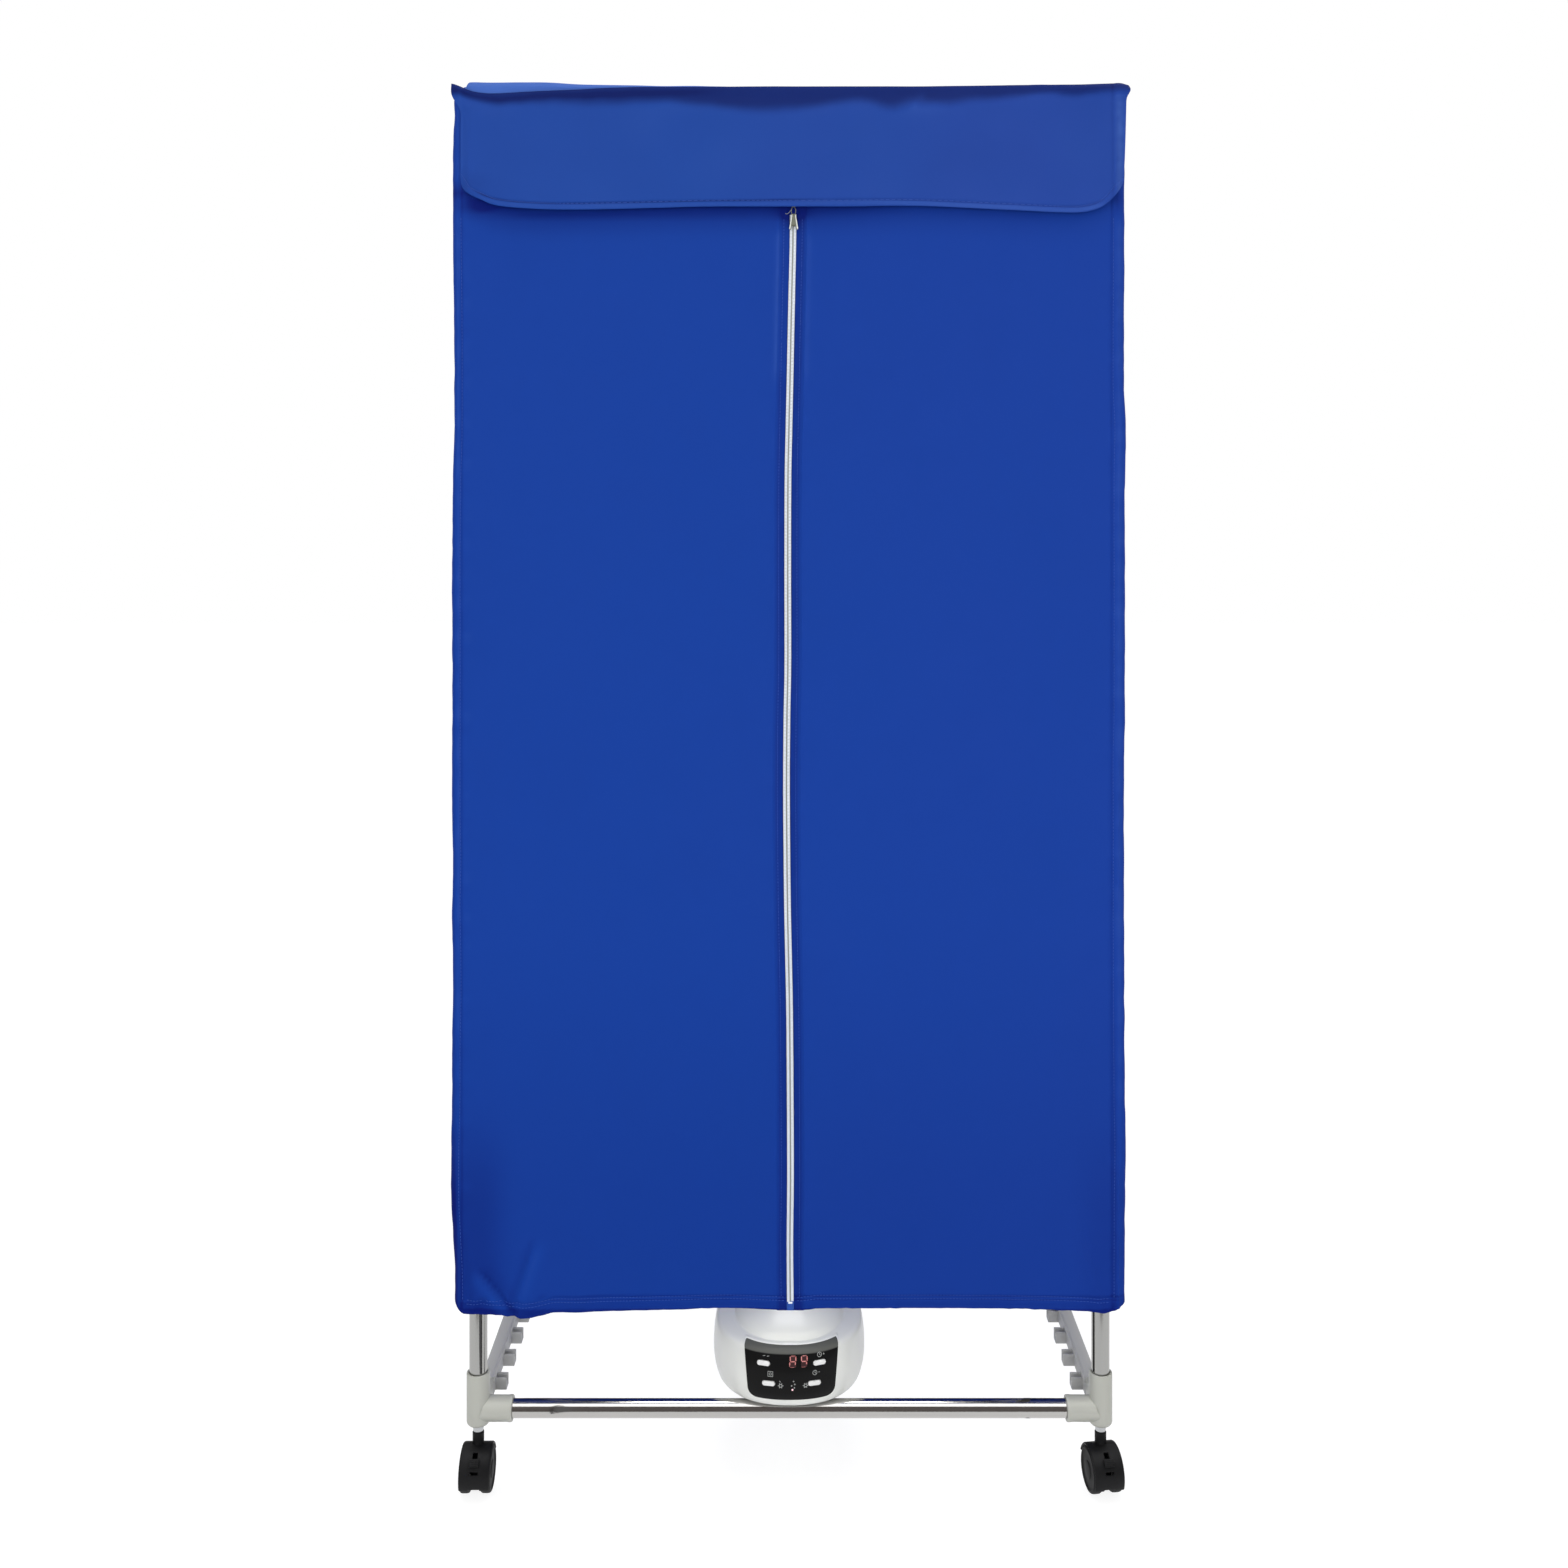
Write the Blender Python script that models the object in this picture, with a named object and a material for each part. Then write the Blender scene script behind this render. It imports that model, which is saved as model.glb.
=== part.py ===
"""Portable clothes dryer: a two-tier tube frame on twin-wheel casters, a zipped fabric cover
and a fan heater that lies on the bottom tubes.

Metres, +Z up. The front faces -Y and the origin is on the floor under the frame's centre.
"""

import math

import bmesh
import bpy
from mathutils import Matrix, Vector

MM = 0.001

# General fits and overruns
FIT = 0.3 * MM
OVERRUN = 4.0 * MM
MERGE_DISTANCE = 0.003 * MM
SMOOTH_ANGLE = math.radians(35)
ROUND_SIDES = 16
SMALL_SIDES = 12

# Frame of round tubes
POST_SPACING_X = 661.0 * MM
POST_SPACING_Y = 431.0 * MM
FRAME_BOTTOM = 67.5 * MM
FRAME_HEIGHT = 1416.5 * MM
TUBE_RADIUS = 9.5 * MM
TUBE_WALL = 1.0 * MM
TIER_LEVEL = 712.5 * MM

# Corner connectors
SOCKET_WALL = 2.5 * MM
ARM_WALL = 3.0 * MM
SOCKET_HEIGHT = 50.5 * MM
SOCKET_FLOOR = 13.7 * MM
SOCKET_ROUNDING = 4.0 * MM
ARM_REACH = 37.0 * MM
ARM_LEVEL = 16.0 * MM
ARM_FLOOR = 1.0 * MM
ARM_MITRE_NEAR = -1.0 * MM
ARM_MITRE_FAR = 9.0 * MM
BOSS_REACH = 27.0 * MM
TONGUE_WIDTH = 8.0 * MM
TONGUE_HEIGHT = 16.0 * MM
TONGUE_LENGTH = 11.0 * MM

# Comb rails and hanging rods
RAIL_WIDTH = 13.0 * MM
RAIL_HEIGHT = 22.0 * MM
RAIL_INSET = 4.0 * MM
RAIL_LEVEL = 12.5 * MM
SLEEVE_HEIGHT = 60.0 * MM
CRADLE_COUNT = 8
CRADLE_PITCH = 48.0 * MM
CRADLE_REACH = 12.0 * MM
CRADLE_HEIGHT = 13.0 * MM
CRADLE_WALL = 2.6 * MM
CRADLE_BASE = 3.0 * MM
ROD_RADIUS = 3.5 * MM
ROD_CRADLES = (1, 3, 6)

# Casters
WHEEL_RADIUS = 22.3 * MM
WHEEL_WIDTH = 10.2 * MM
WHEEL_CHAMFER = 2.0 * MM
WHEEL_DISH = 1.5 * MM
AXLE_RADIUS = 2.5 * MM
WEB_WIDTH = 11.4 * MM
WEB_DROP = 6.0 * MM
HOOD_WALL = 2.0 * MM
HOOD_CLEARANCE = 1.2 * MM
HOOD_START = math.radians(-25)
HOOD_END = math.radians(160)
HOOD_STEPS = 12
TRAIL = 5.0 * MM
STEM_RADIUS = 3.5 * MM
NUT_RADIUS = 5.6 * MM
NECK_RADIUS = 5.7 * MM
NUT_HEIGHT = 7.0 * MM
STEM_DEPTH = 18.0 * MM
STEM_SOCKET = 11.0 * MM
YAW_LEFT = math.radians(1)
YAW_RIGHT = math.radians(8)
WHEEL_STEPS = 18

# Brake levers of the two front casters
LEVER_WIDTH = 4.8 * MM
LEVER_THICKNESS = 2.4 * MM
LEVER_ANGLE = math.radians(44)
LEVER_INNER = 12.5 * MM
LEVER_PIVOT = 16.5 * MM
LEVER_LIFT = 1.2 * MM
LEVER_LIP = 5.5 * MM
LEVER_LIP_WIDTH = 10.5 * MM
LEVER_PIN_RADIUS = 1.2 * MM
LEVER_PIN_LENGTH = 10.8 * MM
LEVER_ROOM_ABOVE = 7.0 * MM
LEVER_ROOM_BELOW = 2.0 * MM
LEVER_ROOM_INSIDE = 1.5 * MM

# Heater on the front tube and two support rods
HEATER_WIDTH = 166.0 * MM
HEATER_DEPTH = 184.0 * MM
HEATER_HEIGHT = 92.0 * MM
HEATER_OVERHANG = 24.0 * MM
HEATER_POWER = 2.3
HEATER_SIDES = 28
HEATER_WALL = 2.2 * MM
SUPPORT_RADIUS = 6.0 * MM
SUPPORT_SPACING = 80.0 * MM
SUPPORT_INSERTION = 5.0 * MM
FOOT_WIDTH = 14.0 * MM
FOOT_LENGTH = 50.0 * MM
FOOT_OFFSET = 12.0 * MM
BASE_SIDE_GAP = 0.9 * MM
# Each ring of the shell: its width, depth and height as shares of the heater's own
HEATER_RING_SHARES = (
    (0.860, 0.860, 0.000),
    (0.925, 0.925, 0.030),
    (0.965, 0.965, 0.100),
    (1.000, 1.000, 0.290),
    (0.994, 0.994, 0.470),
    (0.972, 0.972, 0.615),
    (0.952, 0.956, 0.655),
    (0.915, 0.928, 0.674),
    (0.720, 0.790, 0.702),
    (0.650, 0.740, 0.755),
    (0.440, 0.500, 0.930),
    (0.200, 0.230, 0.990),
)
BASE_THICKNESS = 2.5 * MM
INTAKE_COUNT = 8
INTAKE_WIDTH = 5.0 * MM
INTAKE_START = 31.0 * MM
INTAKE_RIM = 11.3 * MM
OUTLET_COUNT = 7
OUTLET_WIDTH = 5.0 * MM
OUTLET_PITCH = 11.0 * MM
OUTLET_START = -18.0 * MM
OUTLET_END = 52.0 * MM
OUTLET_LEVEL_SHARE = 0.7
CORD_HOLE_RADIUS = 4.5 * MM
CORD_HOLE_LEVEL = 20.0 * MM

# Control panel and its four buttons
PANEL_WIDTH = 99.0 * MM
PANEL_BOTTOM_WIDTH = 90.0 * MM
PANEL_BOTTOM = 11.5 * MM
PANEL_TOP = 63.2 * MM
PANEL_CORNER = 8.0 * MM
PANEL_PROUD = 0.5 * MM
PANEL_THICKNESS = 2.4 * MM
PANEL_SHIFT = 2.0 * MM
PANEL_CORNER_STEPS = 3
BUTTON_LENGTH = 13.6 * MM
BUTTON_HEIGHT = 4.8 * MM
BUTTON_DEPTH = 4.2 * MM
BUTTON_PROUD = 1.1 * MM
BUTTON_ARC_STEPS = 4
UPPER_BUTTON_LEVEL = 49.0 * MM
LOWER_BUTTON_LEVEL = 29.2 * MM
UPPER_BUTTON_SPACING = 58.4 * MM
LOWER_BUTTON_SPACING = 47.8 * MM

# Motor, impeller and heating element inside the heater
MOTOR_RADIUS = 23.0 * MM
SHAFT_RADIUS = 2.5 * MM
SHAFT_LENGTH = 15.0 * MM
HUB_RADIUS = 13.0 * MM
HUB_HEIGHT = 11.0 * MM
HUB_GAP = 2.0 * MM
BLADE_COUNT = 7
BLADE_TIP = 50.0 * MM
BLADE_CHORD = 20.0 * MM
BLADE_THICKNESS = 1.5 * MM
BLADE_PITCH = math.radians(28)
ELEMENT_SIDE_ROOM = 17.0 * MM
ELEMENT_HEADROOM = 33.7 * MM
ELEMENT_DEPTH = 56.0 * MM
ELEMENT_HEIGHT = 11.0 * MM
ELEMENT_SLOTS = 6
ELEMENT_SLOT_WIDTH = 8.0 * MM
ELEMENT_SLOT_PITCH = 15.0 * MM
ELEMENT_FRAME = 6.0 * MM
PILLAR_INSET = 6.0 * MM
PILLAR_RADIUS = 4.0 * MM
FAN_HEADROOM = 7.5 * MM

# Fabric cover
# How far the cover stands out past the posts' centre lines
COVER_ROOM_X = 21.5 * MM
COVER_ROOM_Y = 22.5 * MM
COVER_HEM = 200.0 * MM
COVER_THICKNESS = 1.2 * MM
COVER_CORNER = 8.0 * MM
COVER_CORNER_STEPS = 3
FOLD_DEPTH = 4.0 * MM
FRONT_FOLD_DEPTH = 1.6 * MM
FOLD_COUNT = 11
FOLD_LEAN = 2.4
# How the folds' depth goes: what is left of it high up, how it grows downwards, and how
# fast it fades at the top edge and beside the zip
FOLD_LEAST_SHARE = 0.15
FOLD_GROWTH_POWER = 1.5
FOLD_TOP_FADE = 8
FOLD_ZIP_FADE = 3
# The flat middle of the cover's top, as a share of its outline
TOP_MIDDLE_SHARE = 0.55
# Columns of the front's left and right halves, as shares of the way from the zip to the corner
FRONT_LEFT_SHARES = (0.0, 0.18, 0.40, 0.62, 0.77, 0.82, 0.865, 0.915, 0.965)
FRONT_RIGHT_SHARES = (0.0, 0.20, 0.42, 0.64, 0.84)
SIDE_SHARES = (0.0, 0.25, 0.50, 0.75)
BACK_SHARES = (0.0, 0.17, 0.33, 0.50, 0.67, 0.83)
# Rows of the cover, as shares of its height above the hem
COVER_ROW_SHARES = (0.0, 0.012, 0.034, 0.060, 0.092, 0.18, 0.33, 0.50, 0.67, 0.84, 1.0)
# The gathered fold above the hem at the front's left corner
GATHER_X = -292.0 * MM
GATHER_HEIGHT_LEFT = 42.0 * MM
GATHER_HEIGHT_RIGHT = 112.0 * MM
GATHER_REACH_LEFT = 34.0 * MM
GATHER_REACH_RIGHT = 31.0 * MM
GATHER_WIDTH = 22.0 * MM
GATHER_DEPTH = 4.0 * MM
HEM_DROOP = 9.5 * MM
HEM_DROOP_WIDTH = 50.0 * MM

# Zip down the middle of the front, with the way it wanders off the centre line
ZIP_WIDTH = 8.0 * MM
ZIP_THICKNESS = 2.4 * MM
ZIP_SHIFT = 0.5 * MM
ZIP_WANDER = 3.2 * MM
ZIP_WANDER_SHARES = (0.2, 0.25, 0.3, 0.3, 0.35, 0.3, 0.0, -0.6, -1.0, 0.0, 1.0)
SLIDER_DROP = 134.5 * MM
SLIDER_LENGTH = 21.0 * MM
SLIDER_WIDTH = 9.4 * MM
SLIDER_TAIL_WIDTH = 6.4 * MM
SLIDER_SHOULDER = 9.5 * MM
SLIDER_THICKNESS = 2.6 * MM
PULL_WIDTH = 5.0 * MM
PULL_LENGTH = 22.0 * MM
PULL_THICKNESS = 1.0 * MM
PULL_OVERLAP = 4.0 * MM

# Flap over the zip's top
FLAP_OVERHANG = 1.0 * MM
FLAP_HEIGHT = 131.0 * MM
FLAP_THICKNESS = 1.2 * MM
FLAP_LEAN = 6.5 * MM
FLAP_SAG_RIGHT = 6.0 * MM
FLAP_CORNER_LEFT = 80.0 * MM
FLAP_CORNER_RIGHT = 42.0 * MM
FLAP_CORNER_HEIGHT_LEFT = 24.0 * MM
FLAP_CORNER_HEIGHT_RIGHT = 28.0 * MM
FLAP_RIPPLE = 1.2 * MM
FLAP_RIPPLE_COUNT = 2.5
FLAP_COLUMN_SHARES = (-1.0, -0.985, -0.95, -0.90, -0.84, -0.77, -0.5, -0.2, 0.1, 0.4,
                      0.7, 0.88, 0.93, 0.965, 0.99, 1.0)
FLAP_ROW_SHARES = (0.0, 0.12, 0.45, 0.78, 1.0)

# Places that follow from the sizes above
FRAME_TOP = FRAME_BOTTOM + FRAME_HEIGHT
HALF_X = POST_SPACING_X / 2
HALF_Y = POST_SPACING_Y / 2
SOCKET_RADIUS = TUBE_RADIUS + FIT + SOCKET_WALL
ARM_RADIUS = TUBE_RADIUS + FIT + ARM_WALL
TIER_Z = FRAME_BOTTOM + TIER_LEVEL
RAIL_INNER_X = HALF_X - RAIL_INSET - RAIL_WIDTH / 2
RAIL_TOP_OFFSET = RAIL_LEVEL + RAIL_HEIGHT
HEATER_FLOOR = FRAME_BOTTOM + ARM_LEVEL + TUBE_RADIUS + FIT
HEATER_Y = -HALF_Y - HEATER_OVERHANG + HEATER_DEPTH / 2
INTAKE_END = (HEATER_WIDTH * HEATER_RING_SHARES[0][0] / 2 - HEATER_WALL - BASE_SIDE_GAP
              - INTAKE_RIM)
ELEMENT_WIDTH = HEATER_WIDTH - 2 * ELEMENT_SIDE_ROOM
PILLAR_SPACING = ELEMENT_WIDTH - 2 * PILLAR_INSET
PILLAR_HEIGHT = HEATER_HEIGHT - ELEMENT_HEADROOM - ELEMENT_HEIGHT - FIT
MOTOR_HEIGHT = PILLAR_HEIGHT - FAN_HEADROOM - HUB_HEIGHT - HUB_GAP - BASE_THICKNESS
COVER_WIDTH = POST_SPACING_X + 2 * COVER_ROOM_X
COVER_DEPTH = POST_SPACING_Y + 2 * COVER_ROOM_Y
COVER_TOP = FRAME_TOP + FIT + COVER_THICKNESS
SLIDER_TOP = COVER_TOP - SLIDER_DROP
FLAP_WIDTH = COVER_WIDTH + 2 * FLAP_OVERHANG
COVER_FRONT = -COVER_DEPTH / 2
SHEET_MIDDLE = COVER_FRONT + COVER_THICKNESS / 2
ZIP_FRONT = SHEET_MIDDLE - ZIP_THICKNESS / 2


def clear_scene():
    for old in list(bpy.data.objects):
        bpy.data.objects.remove(old, do_unlink=True)


def finish(name, colour, roughness, metallic=0.0):
    """A plain Principled material."""
    material = bpy.data.materials.new(name)
    material.use_nodes = True
    shader = material.node_tree.nodes["Principled BSDF"]
    shader.inputs["Base Color"].default_value = (*colour, 1.0)
    shader.inputs["Roughness"].default_value = roughness
    shader.inputs["Metallic"].default_value = metallic
    material.diffuse_color = (*colour, 1.0)
    return material


def add_object(name, shape, material=None):
    """Turn a bmesh into an object, smooth except along its sharp edges."""
    bmesh.ops.recalc_face_normals(shape, faces=shape.faces)
    mesh = bpy.data.meshes.new(name)
    shape.to_mesh(mesh)
    shape.free()
    mesh.shade_smooth()
    mesh.set_sharp_from_angle(angle=SMOOTH_ANGLE)
    placed = bpy.data.objects.new(name, mesh)
    bpy.context.collection.objects.link(placed)
    if material is not None:
        mesh.materials.append(material)
    return placed


def shape_with(owner, shape, operation):
    """Join a shape to its owner, or cut it out, in the owner's own frame."""
    guide = add_object(owner.name + "_guide", shape)
    guide.parent = owner
    guide.hide_render = True
    guide.display_type = "WIRE"
    modifier = owner.modifiers.new(operation.title(), "BOOLEAN")
    modifier.operation = operation
    modifier.solver = "EXACT"
    modifier.object = guide


def join(owner, *shapes):
    shape_with(owner, combined(shapes), "UNION")


def cut(owner, *shapes):
    shape_with(owner, combined(shapes), "DIFFERENCE")


def combined(shapes):
    """Several shapes that don't meet, as one bmesh."""
    whole = bmesh.new()
    for shape in shapes:
        holder = bpy.data.meshes.new("holder")
        shape.to_mesh(holder)
        shape.free()
        whole.from_mesh(holder)
        bpy.data.meshes.remove(holder)
    return whole


def solidify(sheet, thickness):
    """Give an open sheet its thickness, inwards from its outer face."""
    modifier = sheet.modifiers.new("Solidify", "SOLIDIFY")
    modifier.thickness = thickness
    modifier.offset = -1.0
    modifier.use_even_offset = True


def box(low, high):
    shape = bmesh.new()
    middle = (Vector(low) + Vector(high)) / 2
    size = Vector(high) - Vector(low)
    place = Matrix.Translation(middle) @ Matrix.Diagonal((*size, 1.0))
    bmesh.ops.create_cube(shape, size=1.0, matrix=place)
    return shape


def along(start, end):
    """The matrix that lays +Z from start towards end."""
    direction = Vector(end) - Vector(start)
    turn = direction.to_track_quat("Z", "Y").to_matrix().to_4x4()
    return Matrix.Translation(Vector(start)) @ turn


def bar(start, end, radius, sides=ROUND_SIDES):
    """A solid round bar between two points."""
    shape = bmesh.new()
    length = (Vector(end) - Vector(start)).length
    middle = Matrix.Translation((0, 0, length / 2))
    bmesh.ops.create_cone(shape, cap_ends=True, segments=sides, radius1=radius, radius2=radius,
                          depth=length, matrix=along(start, end) @ middle)
    return shape


def spun(profile, sides, closed=False, matrix=None):
    """Turn a profile of (radius, height) points about Z."""
    shape = bmesh.new()
    points = [shape.verts.new((radius, 0, height)) for radius, height in profile]
    pairs = list(zip(points, points[1:]))
    if closed:
        pairs.append((points[-1], points[0]))
    edges = [shape.edges.new(pair) for pair in pairs]
    bmesh.ops.spin(shape, geom=points + edges, cent=(0, 0, 0), axis=(0, 0, 1),
                   angle=math.tau, steps=sides, use_merge=True, use_duplicate=False)
    bmesh.ops.remove_doubles(shape, verts=shape.verts, dist=MERGE_DISTANCE)
    if matrix is not None:
        bmesh.ops.transform(shape, matrix=matrix, verts=shape.verts)
    return shape


def hollow_tube(start, end, radius, wall, sides=ROUND_SIDES):
    """A round tube, open at both ends."""
    length = (Vector(end) - Vector(start)).length
    inner = radius - wall
    profile = ((inner, 0), (radius, 0), (radius, length), (inner, length))
    return spun(profile, sides, closed=True, matrix=along(start, end))


def extruded(outline, low, high, axis="X"):
    """An outline in the plane across an axis, extruded along that axis."""
    shape = bmesh.new()
    places = {"X": lambda a, b: (low, a, b), "Y": lambda a, b: (a, low, b),
              "Z": lambda a, b: (a, b, low)}
    steps = {"X": (high - low, 0, 0), "Y": (0, high - low, 0), "Z": (0, 0, high - low)}
    face = shape.faces.new([shape.verts.new(places[axis](a, b)) for a, b in outline])
    grown = bmesh.ops.extrude_face_region(shape, geom=[face])["geom"]
    moved = [item for item in grown if isinstance(item, bmesh.types.BMVert)]
    bmesh.ops.translate(shape, vec=steps[axis], verts=moved)
    return shape


def arc(centre, radius, start, end, steps):
    """Points on an arc, angles counted from the first axis."""
    points = []
    for step in range(steps + 1):
        angle = start + (end - start) * step / steps
        points.append((centre[0] + radius * math.cos(angle), centre[1] + radius * math.sin(angle)))
    return points


def grid_sheet(rows):
    """A sheet through rows of points, all rows of the same count."""
    shape = bmesh.new()
    lines = [[shape.verts.new(point) for point in row] for row in rows]
    for lower, upper in zip(lines, lines[1:]):
        for index in range(len(lower) - 1):
            shape.faces.new((lower[index], lower[index + 1], upper[index + 1], upper[index]))
    return shape, lines


# Corner connectors, posts and tubes


def connector_arm(inward, up):
    """The arm for the cross tube: its root is mitred across the post's socket."""
    arm_z = up * ARM_LEVEL
    arm = bar((-inward * ARM_RADIUS, 0, arm_z), (inward * ARM_REACH, 0, arm_z), ARM_RADIUS)
    run = Vector((inward * (ARM_MITRE_FAR - ARM_MITRE_NEAR), 0, up * 2 * ARM_RADIUS))
    root = Vector((inward * ARM_MITRE_NEAR, 0, arm_z - up * ARM_RADIUS))
    away = Vector((-inward, 0, up * run.x * inward / (2 * ARM_RADIUS)))
    geometry = arm.verts[:] + arm.edges[:] + arm.faces[:]
    left = bmesh.ops.bisect_plane(arm, geom=geometry, plane_co=root, plane_no=away, clear_outer=True)
    edges = [item for item in left["geom_cut"] if isinstance(item, bmesh.types.BMEdge)]
    bmesh.ops.holes_fill(arm, edges=edges)
    return arm


def connector(name, side_x, side_y, end_z, up, material, holds_stem):
    """A three-way corner socket whose closed end is at end_z and whose mouth points up or down."""
    socket = add_object(name, spun((
        (0, 0),
        (SOCKET_RADIUS - SOCKET_ROUNDING, 0),
        (SOCKET_RADIUS, up * SOCKET_ROUNDING),
        (SOCKET_RADIUS, up * SOCKET_HEIGHT),
        (0, up * SOCKET_HEIGHT),
    ), ROUND_SIDES), material)
    socket.location = (side_x * HALF_X, side_y * HALF_Y, end_z)
    arm_z = up * ARM_LEVEL
    join(socket, connector_arm(-side_x, up))
    boss_low = up * RAIL_LEVEL
    boss_high = up * RAIL_TOP_OFFSET
    rail_x = -side_x * RAIL_INSET
    join(socket, box((rail_x - RAIL_WIDTH / 2, 0, boss_low),
                     (rail_x + RAIL_WIDTH / 2, -side_y * BOSS_REACH, boss_high)))
    bore = TUBE_RADIUS + FIT
    cut(socket, bar((0, 0, up * SOCKET_FLOOR), (0, 0, up * (SOCKET_HEIGHT + OVERRUN)), bore))
    arm_floor = SOCKET_RADIUS + ARM_FLOOR
    arm_mouth = ARM_REACH + OVERRUN
    cut(socket, bar((-side_x * arm_floor, 0, arm_z), (-side_x * arm_mouth, 0, arm_z), bore))
    tongue_z = (boss_low + boss_high) / 2
    pocket_start = BOSS_REACH - TONGUE_LENGTH - FIT
    cut(socket, box((rail_x - TONGUE_WIDTH / 2 - FIT, -side_y * pocket_start,
                     tongue_z - TONGUE_HEIGHT / 2 - FIT),
                    (rail_x + TONGUE_WIDTH / 2 + FIT, -side_y * (BOSS_REACH + OVERRUN),
                     tongue_z + TONGUE_HEIGHT / 2 + FIT)))
    if holds_stem:
        cut(socket, bar((0, 0, -OVERRUN), (0, 0, STEM_SOCKET + FIT), STEM_RADIUS + FIT, SMALL_SIDES))


def add_frame(plastic, steel):
    post_bottom = FRAME_BOTTOM + SOCKET_FLOOR + FIT
    post_top = FRAME_TOP - SOCKET_FLOOR - FIT
    for side_y, end_name in ((-1, "front"), (1, "rear")):
        for side_x, side_name in ((-1, "left"), (1, "right")):
            corner = f"{end_name}_{side_name}"
            connector(f"bottom_connector_{corner}", side_x, side_y, FRAME_BOTTOM, 1, plastic, True)
            connector(f"top_connector_{corner}", side_x, side_y, FRAME_TOP, -1, plastic, False)
            for name, low, high in (("lower_post", post_bottom, TIER_Z - FIT / 2),
                                    ("upper_post", TIER_Z + FIT / 2, post_top)):
                tube = hollow_tube((0, 0, 0), (0, 0, high - low), TUBE_RADIUS, TUBE_WALL)
                post = add_object(f"{name}_{corner}", tube, steel)
                post.location = (side_x * HALF_X, side_y * HALF_Y, low)
        tube_end = HALF_X - SOCKET_RADIUS - ARM_FLOOR - FIT
        for level_name, level in (("bottom", FRAME_BOTTOM + ARM_LEVEL), ("top", FRAME_TOP - ARM_LEVEL)):
            shape = hollow_tube((-tube_end, 0, 0), (tube_end, 0, 0), TUBE_RADIUS, TUBE_WALL)
            tube = add_object(f"{level_name}_tube_{end_name}", shape, steel)
            tube.location = (0, side_y * HALF_Y, level)
            if level_name == "bottom":
                past_wall = -side_y * (TUBE_RADIUS + OVERRUN)
                cut(tube, *[bar((x, 0, 0), (x, past_wall, 0), SUPPORT_RADIUS + FIT, SMALL_SIDES)
                            for x in (-SUPPORT_SPACING / 2, SUPPORT_SPACING / 2)])
    support_end = HALF_Y - TUBE_RADIUS + SUPPORT_INSERTION
    for side, side_name in ((-1, "left"), (1, "right")):
        shape = bar((0, -support_end, 0), (0, support_end, 0), SUPPORT_RADIUS, SMALL_SIDES)
        support = add_object(f"heater_support_rod_{side_name}", shape, steel)
        support.location = (side * SUPPORT_SPACING / 2, 0, FRAME_BOTTOM + ARM_LEVEL)


# Comb rails and hanging rods


def cradle_y(index):
    return (index - (CRADLE_COUNT - 1) / 2) * CRADLE_PITCH


def cradles(side_x):
    """The row of open cups on a rail's inner face, with the rail's underside at height 0."""
    slot = ROD_RADIUS + FIT
    outer = slot + CRADLE_WALL
    inner_face = -side_x * RAIL_WIDTH / 2
    tip = inner_face - side_x * CRADLE_REACH
    root = inner_face + side_x * CRADLE_WALL
    cups = []
    for index in range(CRADLE_COUNT):
        middle = cradle_y(index)
        outline = ((middle - outer, 0), (middle + outer, 0),
                   (middle + outer, CRADLE_HEIGHT), (middle + slot, CRADLE_HEIGHT),
                   (middle + slot, CRADLE_BASE), (middle - slot, CRADLE_BASE),
                   (middle - slot, CRADLE_HEIGHT), (middle - outer, CRADLE_HEIGHT))
        cups.append(extruded(outline, min(tip, root), max(tip, root)))
    return cups


def side_rail(name, side_x, underside, half_length, material):
    shape = box((-RAIL_WIDTH / 2, -half_length, 0), (RAIL_WIDTH / 2, half_length, RAIL_HEIGHT))
    rail = add_object(name, shape, material)
    rail.location = (side_x * (HALF_X - RAIL_INSET), 0, underside)
    return rail


def add_rails(plastic, steel):
    rail_end = HALF_Y - BOSS_REACH - FIT
    tongue_end = rail_end + TONGUE_LENGTH
    for side_x, side_name in ((-1, "left"), (1, "right")):
        for level_name, underside in (("bottom", FRAME_BOTTOM + RAIL_LEVEL),
                                      ("top", FRAME_TOP - RAIL_TOP_OFFSET)):
            rail = side_rail(f"{level_name}_comb_rail_{side_name}", side_x, underside, rail_end, plastic)
            join(rail, *cradles(side_x))
            tongue_low = (RAIL_HEIGHT - TONGUE_HEIGHT) / 2
            join(rail, box((-TONGUE_WIDTH / 2, -tongue_end, tongue_low),
                           (TONGUE_WIDTH / 2, tongue_end, tongue_low + TONGUE_HEIGHT)))
        underside = TIER_Z - RAIL_HEIGHT / 2
        rail = side_rail(f"middle_side_rail_{side_name}", side_x, underside, HALF_Y, plastic)
        sleeve_low = (RAIL_HEIGHT - SLEEVE_HEIGHT) / 2
        sleeve_high = sleeve_low + SLEEVE_HEIGHT
        post_x = side_x * RAIL_INSET
        for radius, overrun, change in ((SOCKET_RADIUS, 0, join), (TUBE_RADIUS + FIT, OVERRUN, cut)):
            change(rail, *[bar((post_x, y, sleeve_low - overrun), (post_x, y, sleeve_high + overrun), radius)
                           for y in (-HALF_Y, HALF_Y)])
    rod_z = FRAME_TOP - RAIL_TOP_OFFSET + CRADLE_BASE + FIT + ROD_RADIUS
    rod_end = RAIL_INNER_X - FIT
    for number, index in enumerate(ROD_CRADLES, start=1):
        shape = bar((-rod_end, 0, 0), (rod_end, 0, 0), ROD_RADIUS, SMALL_SIDES)
        rod = add_object(f"hanging_rod_{number}", shape, steel)
        rod.location = (0, cradle_y(index), rod_z)


# Casters


def hood_point(radius, angle):
    """A point of the hood's side view, with the stem on the line y = 0."""
    return (-TRAIL - radius * math.cos(angle), WHEEL_RADIUS + radius * math.sin(angle))


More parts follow.
